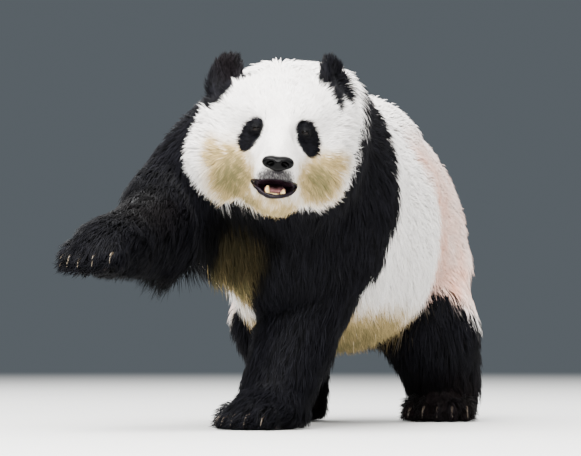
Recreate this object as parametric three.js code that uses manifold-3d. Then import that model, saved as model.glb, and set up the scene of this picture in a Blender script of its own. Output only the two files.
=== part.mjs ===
// A life-size giant panda, standing with its right forepaw raised, as a still museum model.
//
// Units are millimetres and +Z is up. The panda faces -Y, its left side is at +X, and the floor is at z = 0.
// The body is a set of smoothly blended fields (negative inside, positive outside). Each field is skinned on a
// grid into a closed mesh, and the meshes are then carved by their neighbours, so that every named piece meets
// the next one face to face with a small gap. The head, ears and paws are modelled in frames of their own.

import * as THREE from "three";
import { mergeVertices } from "three/addons/utils/BufferGeometryUtils.js";
import Module from "manifold-3d";

const wasm = await Module();
wasm.setup();

// ---------------------------------------------------------------- driving sizes

const GAP = 0.45; // offset between touching pieces, which leaves at least 0.3 mm at their edges
const LEFT = 1;
const RIGHT = -1;
const SIDE_NAMES = { [LEFT]: "left", [RIGHT]: "right" };

// The trunk, from the neck to the rump.
const WITHERS = { at: [0, 0, 556], radius: 172 };
const NAPE = { at: [61, -190, 574], radius: 164 };
const THORAX = { at: [0, 130, 452], half: [218, 270, 244] };
const BARREL = { at: [0, 415, 430], half: [236, 330, 262] };
const RUMP = { at: [0, 675, 415], half: [216, 245, 240] };
const TAIL = { root: [0, 892, 430], tip: [0, 938, 325], radii: [40, 27] };

// The seams between the pieces of the trunk, each a point and the direction of its rear side.
const NAPE_SEAM_Y = 50; // behind the cheeks, in the head's frame
const RUFF_SEAM = { at: [0, -165, 570], rear: [-0.15, 0.88, -0.44] };
const YOKE_SEAM = { at: [200, 92, 560], rear: [-0.06, 1, -0.05] };
const CHEST_SEAM = { at: [20, -150, 335], rear: [-0.38, 0.42, -0.82] };

const BELLY_ROWS = [
  { x: -105, from: -60, to: 500, count: 6 },
  { x: 0, from: 190, to: 560, count: 4 },
  { x: 115, from: 190, to: 500, count: 4 },
];

// The head, in a frame at the middle of the skull: nose towards -y, crown towards +z.
const HEAD_AT = [82, -308, 573];
const HEAD_YAW = 15;
const HEAD_ROLL = 5;
const EYE = { middle: 3.7, x: 47.3, z: 16.3, radius: 11, sunk: 7.5 };
const PATCH = { x: 57, z: 3, half: [24, 27, 42], tilt: { [LEFT]: 21, [RIGHT]: 31 } };
const NOSE = { at: [4, -198, -50], half: [27, 17, 12] };
const MOUTH = { at: [2, -150, -99], half: [43, 58, 16] };
const EAR = { half: [43, 17, 58], cup: 0.66 };
const EARS = {
  [LEFT]: { at: [103, 30, 119], nod: -18, lean: -6, turn: 61 },
  [RIGHT]: { at: [-113, 25, 106], nod: -6, lean: 11, turn: -32 },
};

// The limbs: joints as [x, y, z], radii with the coat on.
const LIMBS = {
  foreleg_left: {
    joints: [[140, 25, 450], [66, 36, 292], [8, -34, 92]],
    radii: [112, 98, 73],
    paw: { at: [-4, -90, 0], turn: -30, pitch: 0, hind: false, flat: true },
    colours: ["black", "black"],
    fringes: [{ from: [0.2, 1, 0], along: [1.05, 1.75], count: 5, lie: [0, 0.2, -1], length: 76 }],
  },
  foreleg_right: {
    joints: [[-150, 2, 484], [-202, -122, 414], [-226, -325, 376]],
    radii: [110, 92, 64],
    paw: { at: [-250, -386, 324], turn: -24, pitch: 9, hind: false, flat: false },
    colours: ["black", "black"],
    fringes: [
      { from: [0.3, 0, -1], along: [0.55, 0.9], count: 3, lie: [0.2, 0.9, -0.2], length: 80, droop: 0.45 },
      { from: [0.1, 0, -1], along: [1.1, 1.7], count: 4, lie: [0.2, 0.9, -0.2], length: 76, droop: 0.4 },
    ],
  },
  hind_leg_left: {
    joints: [[132, 700, 330], [154, 660, 225], [166, 745, 90]],
    radii: [118, 108, 80],
    paw: { at: [172, 705, 0], turn: 8, pitch: 0, hind: true, flat: true },
    colours: ["white", "black"],
    fringes: [
      { from: [-0.3, -1, 0], along: [1.1, 1.55], count: 2, lie: [0, -0.2, -1], length: 70 },
      { from: [0.3, 1, 0], along: [1.15, 1.55], count: 2, lie: [0, 0.2, -1], length: 70 },
    ],
  },
  hind_leg_right: {
    joints: [[-130, 640, 330], [-146, 585, 230], [-150, 655, 90]],
    radii: [118, 106, 80],
    paw: { at: [-150, 605, 0], turn: -8, pitch: 0, hind: true, flat: true },
    colours: ["white", "black"],
    fringes: [
      { from: [0.3, -1, 0], along: [1.1, 1.55], count: 2, lie: [0, -0.2, -1], length: 70 },
      { from: [-0.3, 1, 0], along: [1.15, 1.55], count: 2, lie: [0, 0.2, -1], length: 70 },
    ],
  },
};

const COLOURS = {
  white: 0xe9e5dc,
  black: 0x17161a,
  nose: 0x0c0c0d,
  eye: 0x120b08,
  claw: 0xcbbf9f,
  tooth: 0xe0cf9a,
  tongue: 0xb0727a,
  lip: 0x2a2226,
  throat: 0x4a1418,
};

// ---------------------------------------------------------------- fields

const rad = THREE.MathUtils.degToRad;
const clamp = THREE.MathUtils.clamp;

// The frame of a piece: turns in degrees about x, y and z, then the place.
function frameOf(at, [turnX, turnY, turnZ] = [0, 0, 0]) {
  const turn = new THREE.Euler(rad(turnX), rad(turnY), rad(turnZ), "ZYX");
  return new THREE.Matrix4().makeRotationFromEuler(turn).setPosition(...at);
}

// An ellipsoid, in half sizes, turned about its centre.
function egg(centre, [a, b, c], turns) {
  const m = frameOf(centre, turns).invert().elements;
  return (x, y, z) => {
    const u = (m[0] * x + m[4] * y + m[8] * z + m[12]) / a;
    const v = (m[1] * x + m[5] * y + m[9] * z + m[13]) / b;
    const w = (m[2] * x + m[6] * y + m[10] * z + m[14]) / c;
    const unit = Math.hypot(u, v, w);
    const steep = Math.hypot(u / a, v / b, w / c);
    return steep > 1e-9 ? (unit * (unit - 1)) / steep : -Math.min(a, b, c);
  };
}

// A tapered limb with round ends.
function limb([ax, ay, az], [bx, by, bz], ra, rb) {
  const [dx, dy, dz] = [bx - ax, by - ay, bz - az];
  const long = dx * dx + dy * dy + dz * dz;
  return (x, y, z) => {
    const [px, py, pz] = [x - ax, y - ay, z - az];
    const t = clamp((px * dx + py * dy + pz * dz) / long, 0, 1);
    return Math.hypot(px - t * dx, py - t * dy, pz - t * dz) - (ra + (rb - ra) * t);
  };
}

// Fields joined by a fillet of about the given size.
function blend(size, ...fields) {
  return (x, y, z) => {
    let d = fields[0](x, y, z);
    for (let i = 1; i < fields.length; i++) {
      const e = fields[i](x, y, z);
      const h = Math.max(size - Math.abs(d - e), 0) / size;
      d = Math.min(d, e) - (h * h * size) / 4;
    }
    return d;
  };
}

// A field with another pressed out of it, over a soft edge.
function dent(size, field, ...tools) {
  return (x, y, z) => {
    let d = field(x, y, z);
    for (const tool of tools) {
      const e = -tool(x, y, z);
      const h = Math.max(size - Math.abs(d - e), 0) / size;
      d = Math.max(d, e) + (h * h * size) / 4;
    }
    return d;
  };
}

// ---------------------------------------------------------------- skinning a field

// Grid lines from stops and steps: [from, step, to, step, to, ...].
function lines(spec) {
  const out = [spec[0]];
  for (let i = 1; i < spec.length; i += 2) {
    const from = out[out.length - 1];
    const to = spec[i + 1];
    const count = Math.max(1, Math.round((to - from) / spec[i]));
    for (let n = 1; n <= count; n++) out.push(from + ((to - from) * n) / count);
  }
  return out;
}

// A grid cell: corner n stands at bits x, y and z of n, and four edges run along each axis.
const CELL_EDGES = [
  [0, 1], [2, 3], [4, 5], [6, 7],
  [0, 2], [1, 3], [4, 6], [5, 7],
  [0, 4], [1, 5], [2, 6], [3, 7],
];
const CELL_FACES = [0, 1, 2].flatMap((axis) =>
  [0, 1].map((side) => [0, 1, 2, 3, 4, 5, 6, 7].filter((n) => ((n >> axis) & 1) === side)),
);
const FIT_STEPS = 3;

// The sheets in which a surface crosses a cell, each a list of the edges that it cuts.
function sheetsOf(inside) {
  const cut = CELL_EDGES.map(([a, b]) => inside(a) !== inside(b));
  const sheet = CELL_EDGES.map((_, n) => n);
  const join = (a, b) => {
    const [from, to] = [sheet[b], sheet[a]];
    sheet.forEach((s, n) => s === from && (sheet[n] = to));
  };
  for (const corners of CELL_FACES) {
    const edges = CELL_EDGES.map((_, n) => n).filter(
      (n) => cut[n] && CELL_EDGES[n].every((c) => corners.includes(c)),
    );
    if (edges.length === 2) join(...edges);
    if (edges.length === 4) {
      for (const c of corners.filter(inside)) join(...edges.filter((n) => CELL_EDGES[n].includes(c)));
    }
  }
  const names = [...new Set(sheet.filter((_, n) => cut[n]))];
  return names.map((name) => CELL_EDGES.map((_, n) => n).filter((n) => cut[n] && sheet[n] === name));
}

// The closed surface where a field is zero, as a geometry: one vertex for each sheet of it in a grid cell,
// drawn onto it, and one four-sided face round each grid edge that it crosses.
function skin(field, [specX, specY, specZ]) {
  const [xs, ys, zs] = [lines(specX), lines(specY), lines(specZ)];
  const [nx, ny, nz] = [xs.length, ys.length, zs.length];
  const at = (i, j, k) => (k * ny + j) * nx + i;
  const values = new Float64Array(nx * ny * nz);
  for (let k = 0; k < nz; k++)
    for (let j = 0; j < ny; j++)
      for (let i = 0; i < nx; i++) values[at(i, j, k)] = field(xs[i], ys[j], zs[k]);

  const vertexOf = new Map(); // by cell and edge
  const positions = [];
  for (let k = 0; k < nz - 1; k++)
    for (let j = 0; j < ny - 1; j++)
      for (let i = 0; i < nx - 1; i++) {
        const value = (n) => values[at(i + (n & 1), j + ((n >> 1) & 1), k + (n >> 2))];
        const box = [[xs[i], xs[i + 1]], [ys[j], ys[j + 1]], [zs[k], zs[k + 1]]];
        const corner = (n) => box.map((range, axis) => range[(n >> axis) & 1]);
        for (const edges of sheetsOf((n) => value(n) < 0)) {
          const mean = [0, 0, 0];
          for (const [a, b] of edges.map((n) => CELL_EDGES[n])) {
            const t = value(a) / (value(a) - value(b));
            const [from, to] = [corner(a), corner(b)];
            mean.forEach((_, axis) => (mean[axis] += (from[axis] * (1 - t) + to[axis] * t) / edges.length));
          }
          for (const n of edges) vertexOf.set(at(i, j, k) * 12 + n, positions.length / 3);
          positions.push(...drawnOnto(field, mean, box));
        }
      }

  const index = [];
  const quad = (ring, turned) => {
    if (turned) ring.reverse();
    const p = ring.map((n) => new THREE.Vector3().fromArray(positions, n * 3));
    const short = p[0].distanceTo(p[2]) < p[1].distanceTo(p[3]) ? 0 : 1;
    for (const n of [0, 2]) {
      index.push(ring[(n + short) % 4], ring[(n + 1 + short) % 4], ring[(n + 2 + short) % 4]);
    }
  };
  const round = [[1, 1], [0, 1], [0, 0], [1, 0]];
  for (let k = 0; k < nz - 1; k++)
    for (let j = 0; j < ny - 1; j++)
      for (let i = 0; i < nx - 1; i++) {
        const here = values[at(i, j, k)] < 0;
        const v = (di, dj, dk, edge) => vertexOf.get(at(i - di, j - dj, k - dk) * 12 + edge);
        if (j && k && here !== values[at(i + 1, j, k)] < 0)
          quad(round.map(([a, b]) => v(0, a, b, a + 2 * b)), !here);
        if (i && k && here !== values[at(i, j + 1, k)] < 0)
          quad(round.map(([b, a]) => v(a, 0, b, 4 + a + 2 * b)), !here);
        if (i && j && here !== values[at(i, j, k + 1)] < 0)
          quad(round.map(([a, b]) => v(a, b, 0, 8 + a + 2 * b)), !here);
      }
  return new THREE.BufferGeometry()
    .setAttribute("position", new THREE.Float32BufferAttribute(positions, 3))
    .setIndex(index);
}

// A point moved down the field's slope onto its surface, without leaving its grid cell.
function drawnOnto(field, point, cell) {
  let p = point;
  for (let n = 0; n < FIT_STEPS; n++) {
    const d = field(...p);
    const slope = slopeOf(field, p);
    const steep = slope.reduce((s, g) => s + g * g, 0) || 1;
    p = p.map((c, i) => clamp(c - (d * slope[i]) / steep, cell[i][0], cell[i][1]));
  }
  return p;
}

function slopeOf(field, [x, y, z], step = 0.5) {
  const d = field(x, y, z);
  return [field(x + step, y, z) - d, field(x, y + step, z) - d, field(x, y, z + step) - d].map(
    (g) => g / step,
  );
}

// The first point of a field met from a start, going along a direction.
function cast(field, start, direction, reach = 400) {
  const p = [...start];
  for (let gone = 0; gone < reach; ) {
    const d = field(...p);
    if (d < 0.05) break;
    gone += d * 0.8;
    p.forEach((_, i) => (p[i] += direction[i] * d * 0.8));
  }
  return p;
}

// ---------------------------------------------------------------- solids

function solidOf(geometry) {
  const bare = geometry.clone();
  for (const name of ["normal", "uv"]) bare.deleteAttribute(name);
  const merged = mergeVertices(bare, 1e-4);
  return new wasm.Manifold(
    new wasm.Mesh({
      numProp: 3,
      vertProperties: merged.attributes.position.array,
      triVerts: new Uint32Array(merged.index.array),
    }),
  );
}

function geometryOf(solid) {
  const { vertProperties, triVerts } = solid.getMesh();
  return new THREE.BufferGeometry()
    .setAttribute("position", new THREE.BufferAttribute(vertProperties, 3))
    .setIndex(new THREE.BufferAttribute(triVerts, 1));
}

const moved = (solid, matrix) => solidOf(geometryOf(solid).applyMatrix4(matrix));

// The same solid with every face moved out by the gap.
function grown(solid, gap = GAP) {
  const g = geometryOf(solid);
  const [p, index] = [g.attributes.position, g.index.array];
  const corner = (n) => new THREE.Vector3().fromBufferAttribute(p, index[n]);
  const around = Array.from({ length: p.count }, () => []);
  for (let f = 0; f < index.length; f += 3) {
    const face = new THREE.Triangle(corner(f), corner(f + 1), corner(f + 2));
    const longest = Math.max(face.a.distanceTo(face.b), face.b.distanceTo(face.c), face.c.distanceTo(face.a));
    if (face.getArea() < SLIVER * longest) continue;
    const normal = face.getNormal(new THREE.Vector3());
    for (let n = 0; n < 3; n++) around[index[f + n]].push(normal);
  }
  around.forEach((normals, i) => {
    if (!normals.length) return;
    const step = stepOut(normals, gap).add(new THREE.Vector3().fromBufferAttribute(p, i));
    p.setXYZ(i, step.x, step.y, step.z);
  });
  return solidOf(g);
}

// The step that takes a corner clear of all its faces by the gap: it starts along their mean and is pushed out
// of each face in turn.
function stepOut(normals, gap) {
  const step = normals.reduce((sum, n) => sum.addScaledVector(n, gap / normals.length), new THREE.Vector3());
  for (let round = 0; round < 40; round++)
    for (const n of normals) step.addScaledVector(n, Math.max(gap - n.dot(step), 0));
  return step.clampLength(0, LONGEST_STEP * gap);
}

// What is left of a solid round its neighbours, without loose scraps.
function carved(solid, ...neighbours) {
  return largest(neighbours.reduce((left, n) => left.subtract(grown(n)), solid));
}

function largest(solid) {
  return solid.decompose().reduce((a, b) => (b.volume() > a.volume() ? b : a));
}

const FAR = 4000;
const SLIVER = 0.02; // a face lower than about twice this has no direction of its own
const LONGEST_STEP = 8; // in gaps, at the thin edge of a wedge
const CLEAR = 0.7; // the nearest that a vertex may stand to a cut
const LOCK_ROOT = 9; // how deep a lock is rooted
const LOCK_SPREAD = 0.35; // the share by which the locks' lengths differ
const SPARE = 42; // how far a skinned shape runs on past the seam that it is cut at

// Half of space as a block: the side of a plane that its direction points to, moved on by a distance.
function halfSpace({ at, rear }, onward = 0) {
  const direction = new THREE.Vector3(...rear).normalize();
  const block = new THREE.BoxGeometry(FAR, FAR, FAR).translate(0, 0, FAR / 2 + onward);
  block.applyQuaternion(new THREE.Quaternion().setFromUnitVectors(new THREE.Vector3(0, 0, 1), direction));
  return solidOf(block.translate(...at));
}

// A solid whose vertices all stand a little off a plane, so that a cut there leaves no slivers.
function clearOf(solid, { at, rear }, onward = 0) {
  const direction = new THREE.Vector3(...rear).normalize();
  const plane = new THREE.Plane().setFromNormalAndCoplanarPoint(direction, new THREE.Vector3(...at));
  const g = geometryOf(solid);
  const p = g.attributes.position;
  for (let i = 0; i < p.count; i++) {
    const point = new THREE.Vector3().fromBufferAttribute(p, i);
    const d = plane.distanceToPoint(point) - onward;
    if (Math.abs(d) < CLEAR) point.addScaledVector(direction, (d < 0 ? -CLEAR : CLEAR) - d);
    p.setXYZ(i, point.x, point.y, point.z);
  }
  return solidOf(g);
}

const behind = (solid, seam) =>
  largest(clearOf(solid, seam, GAP / 2).intersect(halfSpace(seam, GAP / 2)));
const ahead = (solid, seam) =>
  largest(clearOf(solid, seam, -GAP / 2).subtract(halfSpace(seam, -GAP / 2)));

// A closed tapered tube: rings of points round a smooth line, each ring with its own half width and thickness.
function taperedTube(points, { widths, thicknesses = widths, sides = 6, steps, up = [0, 0, 1], ring = false }) {
  const curve = new THREE.CatmullRomCurve3(points.map((p) => new THREE.Vector3(...p)), ring);
  const sizeAt = (sizes, t) => {
    const s = t * (sizes.length - 1);
    const n = Math.min(Math.floor(s), sizes.length - 2);
    return THREE.MathUtils.lerp(sizes[n], sizes[n + 1], s - n);
  };
  const rings = [];
  const count = ring ? steps : steps + 1;
  for (let i = 0; i < count; i++) {
    const t = i / steps;
    const along = curve.getTangentAt(t);
    const wide = new THREE.Vector3().crossVectors(along, new THREE.Vector3(...up)).normalize();
    const thick = new THREE.Vector3().crossVectors(wide, along).normalize();
    const centre = curve.getPointAt(t);
    const [w, h] = [sizeAt(widths, t), sizeAt(thicknesses, t)];
    rings.push(
      Array.from({ length: sides }, (_, s) => {
        const a = (2 * Math.PI * s) / sides;
        return centre.clone().addScaledVector(wide, w * Math.cos(a)).addScaledVector(thick, h * Math.sin(a));
      }),
    );
  }
  const positions = rings.flat().flatMap((p) => p.toArray());
  const index = [];
  const spans = ring ? count : count - 1;
  for (let i = 0; i < spans; i++)
    for (let s = 0; s < sides; s++) {
      const [a, b] = [i * sides + s, i * sides + ((s + 1) % sides)];
      const [c, d] = [((i + 1) % count) * sides + s, ((i + 1) % count) * sides + ((s + 1) % sides)];
      index.push(a, c, b, b, c, d);
    }
  if (!ring)
    for (const [i, turned] of [[0, false], [count - 1, true]])
      for (let s = 1; s < sides - 1; s++) {
        const [b, c] = turned ? [s + 1, s] : [s, s + 1];
        index.push(i * sides, i * sides + b, i * sides + c);
      }
  const tube = new THREE.BufferGeometry()
    .setAttribute("position", new THREE.Float32BufferAttribute(positions, 3))
    .setIndex(index);
  const solid = solidOf(tube);
  if (solid.volume() > 0) return solid;
  return solidOf(tube.setIndex(index.map((_, i) => index[i - (i % 3) + 2 - (i % 3)])));
}

// A lock of long hair: rooted under the surface at a point, it lies along a direction, stands off towards its
// tip and hangs there a little.
function lock(field, start, lie, { length, width, lift = 0.12, droop = 0.1 }) {
  const normal = new THREE.Vector3(...slopeOf(field, start)).normalize();
  const along = new THREE.Vector3(...lie);
  along.addScaledVector(normal, -normal.dot(along)).normalize();
  const long = length * (1 + LOCK_SPREAD * (THREE.MathUtils.seededRandom() - 0.5));
  const at = (t) =>
    new THREE.Vector3(...start)
      .addScaledVector(along, long * t)
      .addScaledVector(normal, long * lift * t * t - LOCK_ROOT * Math.max(1 - 2.4 * t, 0))
      .add(new THREE.Vector3(0, 0, -long * droop * t * t))
      .toArray();
  return taperedTube([at(0), at(0.36), at(0.7), at(1)], {
    widths: [0.8 * width, width, 0.7 * width, 1],
    thicknesses: [0.3 * width, 0.34 * width, 0.26 * width, 0.8],
    sides: 4,
    steps: 3,
    up: normal.toArray(),
  });
}

// A solid with locks fused to it, which are trimmed clear of its neighbours.
function withLocks(solid, locks, ...neighbours) {
  const fringe = locks.reduce((a, b) => a.add(b));
  return largest(solid.add(neighbours.reduce((left, n) => left.subtract(grown(n)), fringe)));
}

// Evenly spaced values from one end to the other.
const spread = (from, to, count) =>
  Array.from({ length: count }, (_, i) => from + ((to - from) * i) / (count - 1));

function ball(centre, radius, detail = 10) {
  return solidOf(new THREE.SphereGeometry(radius, 2 * detail, detail).translate(...centre));
}

// ---------------------------------------------------------------- the fields of the body

const trunkField = blend(
  90,
  egg(THORAX.at, THORAX.half),
  egg(BARREL.at, BARREL.half),
  egg(RUMP.at, RUMP.half),
  limb(WITHERS.at, NAPE.at, WITHERS.radius, NAPE.radius),
  egg([5, -75, 425], [160, 125, 150]), // chest
  egg([160, -176, 654], [44, 60, 44]), // the ruff behind the left ear
  egg([114, 40, 512], [100, 150, 165]), // left shoulder blade
  egg([-118, 5, 500], [100, 150, 150]), // right shoulder blade
  egg([118, 715, 350], [108, 165, 170]), // left haunch
  egg([-112, 655, 350], [108, 170, 170]), // right haunch
);

// The head without its openings.
const headField = dent(
  14,
  blend(
    42,
    egg([0, 10, 20], [150, 128, 115]), // cranium
    egg([-98, -4, -40], [90, 98, 85]), // right cheek, pushed out by the raised shoulder
    egg([80, -4, -42], [80, 98, 84]), // left cheek
    limb([0, -65, -38], [2, -158, -62], 70, 43), // muzzle
    egg([1, -105, -10], [34, 72, 34]), // bridge
    limb([0, -40, -93], [2, -134, -113], 58, 31), // lower jaw
    egg([44, -78, 46], [40, 42, 32]), // brows
    egg([-44, -78, 46], [40, 42, 32]),
  ),
  egg([-50, -138, 10], [20, 20, 24]), // orbits
  egg([50, -138, 10], [20, 20, 24]),
);

// A paw in its own frame: toes towards -y, sole at z = 0, wrist or heel behind.
const TOES = [-2, -1, 0, 1, 2];
const TOE_STEP = 27;
const toeFront = (hind, i) => (hind ? -68 : -56) + i * i * 5;

function pawField(hind) {
  const palm = hind ? egg([0, 32, 34], [60, 108, 50]) : egg([0, 14, 38], [68, 82, 56]);
  const toes = TOES.map((i) => egg([i * TOE_STEP, toeFront(hind, i), 22], [18, 33, 32], [0, 0, i * 7]));
  return blend(14, palm, ...toes);
}

// A field moved into a frame, or out of one.
function inFrame(field, matrix) {
  const m = matrix.clone().invert().elements;
  return (x, y, z) =>
    field(
      m[0] * x + m[4] * y + m[8] * z + m[12],
      m[1] * x + m[5] * y + m[9] * z + m[13],
      m[2] * x + m[6] * y + m[10] * z + m[14],
    );
}

const HEAD_FRAME = frameOf(HEAD_AT, [0, HEAD_ROLL, HEAD_YAW]);
const bodyField = blend(32, trunkField, inFrame(headField, HEAD_FRAME));

// ---------------------------------------------------------------- pieces

const root = new THREE.Group();
const ROUGHNESS = { nose: 0.35, eye: 0.1, claw: 0.4, tooth: 0.3, tongue: 0.35, lip: 0.4, throat: 0.5 };

function addPiece(parent, name, solid, colour) {
  const material = new THREE.MeshStandardMaterial({
    color: COLOURS[colour],
    roughness: ROUGHNESS[colour] ?? 0.9,
    metalness: 0,
  });
  const mesh = new THREE.Mesh(geometryOf(solid), material);
  mesh.name = name;
  parent.add(mesh);
}

function groupAt(matrix) {
  const group = new THREE.Group();
  matrix.decompose(group.position, group.quaternion, group.scale);
  root.add(group);
  return group;
}

// The ruff of long hair round the rear edge of the cheeks, and the fringe under the chin.
function ruffLocks(field) {
  const ruff = spread(-200, 20, 15).map((degrees) => {
    const [c, s] = [Math.cos(rad(degrees)), Math.sin(rad(degrees))];
    const start = cast(field, [320 * c, 4, -25 + 320 * s], [-c, 0, -s]);
    return lock(field, start, [0.55 * c, 0.8, 0.55 * s - 0.35], { length: 74, width: 23, lift: 0.2 });
  });
  const cheeks = spread(-165, -15, 7).map((degrees) => {
    const [c, s] = [Math.cos(rad(degrees)), Math.sin(rad(degrees))];
    const start = cast(field, [320 * c, -42, -25 + 320 * s], [-c, 0, -s]);
    return lock(field, start, [0.6 * c, 0.75, 0.6 * s - 0.4], { length: 66, width: 21, lift: 0.18 });
  });
  return [...ruff, ...cheeks];
}

// The head and what it carries, in the head's frame.
function makeHead(ears, neck, shoulders) {
  const group = groupAt(HEAD_FRAME);
  const inverse = HEAD_FRAME.clone().invert();
  const field = inFrame(bodyField, inverse);
  const clipped = (x, y, z) => Math.max(field(x, y, z), y - NAPE_SEAM_Y - SPARE);
  const full = solidOf(
    skin(clipped, [
      [-260, 36, -80, 16, 82, 36, 260],
      [-235, 16, -100, 36, 160],
      [-255, 36, -156, 17, 54, 36, 180],
    ]),
  );
  const blank = ahead(full, { at: [0, NAPE_SEAM_Y, 0], rear: [0, 1, 0] });

  const pieces = {};
  const rim = Array.from({ length: 20 }, (_, i) => {
    const a = (2 * Math.PI * i) / 20;
    const x = MOUTH.at[0] + MOUTH.half[0] * Math.cos(a);
    const z = MOUTH.at[2] + MOUTH.half[2] * 1.05 * Math.sin(a);
    return cast(headField, [x, -260, z], [0, 1, 0]);
  });
  pieces.lips = taperedTube(rim, { widths: [4.2, 4.2], sides: 5, steps: 24, up: [0, 1, 0.01], ring: true });
  const hollow = (inset) =>
    solidOf(
      new THREE.SphereGeometry(1, 12, 6).scale(...MOUTH.half.map((c) => c - inset)).translate(...MOUTH.at),
    );
  const mouth = hollow(1.5 * GAP).subtract(grown(pieces.lips));
  let head = blank.subtract(hollow(0)).subtract(grown(pieces.lips));

  const [nx, ny, nz] = NOSE.at;
  pieces.nose = solidOf(
    skin(
      dent(
        5,
        blend(
          10,
          egg([nx, ny, nz], NOSE.half),
          egg([nx - 15, ny + 1, nz], [15, 15, 12]),
          egg([nx + 15, ny + 1, nz], [15, 15, 12]),
          egg([nx, ny + 2, nz - 8], [15, 14, 11]),
        ),
        egg([nx - 15.5, ny - 14, nz - 4], [8.2, 9, 4.6], [0, -20, 0]),
        egg([nx + 15.5, ny - 14, nz - 4], [8.2, 9, 4.6], [0, 20, 0]),
      ),
      [[nx - 42, 8, nx + 42], [ny - 26, 8, ny + 28], [nz - 36, 7, nz + 30]],
    ),
  );
  head = head.subtract(grown(pieces.nose));

  for (const side of [LEFT, RIGHT]) {
    const name = SIDE_NAMES[side];
    const brow = cast(headField, [EYE.middle + side * EYE.x, -260, EYE.z], [0, 1, 0]);
    const centre = [brow[0], brow[1] + EYE.sunk, brow[2]];
    const eye = ball(centre, EYE.radius, 6);
    const patchTool = solidOf(
      new THREE.SphereGeometry(1, 11, 6)
        .scale(...PATCH.half)
        .applyMatrix4(frameOf([side * PATCH.x, brow[1] + 4, PATCH.z], [0, -side * PATCH.tilt[side], 0])),
    );
    const lid = Array.from({ length: 12 }, (_, i) => {
      const a = (2 * Math.PI * i) / 12;
      const x = centre[0] + 9 * Math.cos(a);
      const z = centre[2] + 5.6 * Math.sin(a) - side * 1.2 * Math.cos(a);
      return [x, centre[1] - 8.5 + 2.5 * Math.abs(Math.cos(a)), z];
    });
    const lids = taperedTube(lid, { widths: [3, 3], sides: 5, steps: 10, up: [0, 1, 0.01], ring: true });
    pieces["eye_" + name] = eye;
    pieces["eye_patch_" + name] = largest(blank.intersect(patchTool).add(lids).subtract(grown(eye)));
    head = head.subtract(grown(patchTool)).subtract(grown(lids));
  }

  const neighbours = [moved(neck, inverse), moved(shoulders, inverse), ...ears];
  head = withLocks(carved(head, ...ears), ruffLocks(field), ...neighbours);
  [pieces.ear_left, pieces.ear_right] = ears;

  const tongue = solidOf(
    new THREE.SphereGeometry(1, 8, 5)
      .scale(21, 40, 8)
      .translate(MOUTH.at[0], MOUTH.at[1] - 2, MOUTH.at[2] - 8),
  );
  const throat = { at: [0, -142, 0], rear: [0, 1, 0] };
  pieces.throat = behind(mouth, throat);
  pieces.tongue = ahead(tongue.intersect(mouth), throat);
  for (const side of [LEFT, RIGHT]) {
    const at = (x, y, z) => [MOUTH.at[0] + side * x, y, MOUTH.at[2] + z];
    const canine = taperedTube([at(14.5, -162, -18), at(15.3, -168, -6), at(16, -168, 5)], {
      widths: [6.5, 5.8, 2.2],
      sides: 6,
      steps: 4,
      up: [0, 1, 0],
    });
    pieces["canine_" + SIDE_NAMES[side]] = carved(canine.intersect(mouth), pieces.tongue);
  }

  const colours = { lips: "lip", nose: "nose", tongue: "tongue", throat: "throat", canine: "tooth", eye: "eye" };
  for (const [name, solid] of Object.entries(pieces)) {
    const dark = name.startsWith("ear") || name.startsWith("eye_patch");
    addPiece(group, name, solid, dark ? "black" : colours[name.split("_")[0]]);
  }
  addPiece(group, "head", head, "white");
}

// An ear: a thick disc with a cup pressed into its front.
function earSolid(side) {
  const [wide, thick, tall] = EAR.half;
  const { at, nod, lean, turn } = EARS[side];
  const shape = dent(
    8,
    egg([0, 0, 0], EAR.half),
    egg([0, -thick * 1.25, 4], [wide * EAR.cup, thick * 1.1, tall * EAR.cup]),
  );
  const ear = solidOf(skin(shape, [[-60, 15, 60], [-27, 9, 27], [-72, 15, 72]]));
  return moved(ear, frameOf(at, [nod, lean, turn]));
}

// A paw with its claws, in its own frame.
function makePaw(name, { hind, flat }, frame, limbField, wrist) {
  const group = groupAt(frame);
  const inverse = frame.clone().invert();
  const seamHere = {
    at: new THREE.Vector3(...wrist.at).applyMatrix4(inverse).toArray(),
    rear: new THREE.Vector3(...wrist.rear).transformDirection(inverse).toArray(),
  };
  const [[px, py, pz], [dx, dy, dz]] = [seamHere.at, seamHere.rear];
  const field = inFrame(limbField, inverse);
  const clipped = (x, y, z) =>
    Math.max(field(x, y, z), (x - px) * dx + (y - py) * dy + (z - pz) * dz - SPARE);
  const length = hind ? [-132, 20, -40, 36, 220] : [-120, 19, -40, 30, 176];
  let paw = solidOf(skin(clipped, [[-120, 20, 120], length, [-36, 20, 204]]));
  paw = ahead(paw, seamHere);
  if (flat) {
    const floor = { at: [0, 0, 0], rear: [0, 0, 1] };
    paw = largest(clearOf(paw, floor).intersect(halfSpace(floor)));
  }
  for (const i of TOES) {
    const front = toeFront(hind, i);
    const yaw = rad(i * 7);
    const tip = (forward, z) => [
      i * TOE_STEP + Math.sin(yaw) * forward,
      front - Math.cos(yaw) * forward,
      z,
    ];
    const claw = taperedTube([tip(18, 32), tip(35, 29), tip(47, 9)], {
      widths: [5.2, 4.4, 0.8],
      thicknesses: [7, 5.6, 0.8],
      sides: 4,
      steps: 2,
      up: [0, 0.3, 1],
    });
    addPiece(group, `claw_${name}_${i + 3}`, carved(claw, paw), "claw");
  }
  addPiece(group, name, paw, "black");
  return moved(paw, frame);
}

// The locks of one fringe of a limb: from is the side it grows on, along its stretch, counted in joints.
function fringeLocks(field, joints, { from, along, count, lie, length, droop }) {
  return spread(...along, count).map((t) => {
    const n = Math.min(Math.floor(t), joints.length - 2);
    const centre = joints[n].map((c, i) => c + (joints[n + 1][i] - c) * (t - n));
    const far = centre.map((c, i) => c + 300 * from[i]);
    const start = cast(field, far, from.map((c) => -c / Math.hypot(...from)));
    return lock(field, start, lie, { length, width: 22, lift: 0.2, droop });
  });
}

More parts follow.
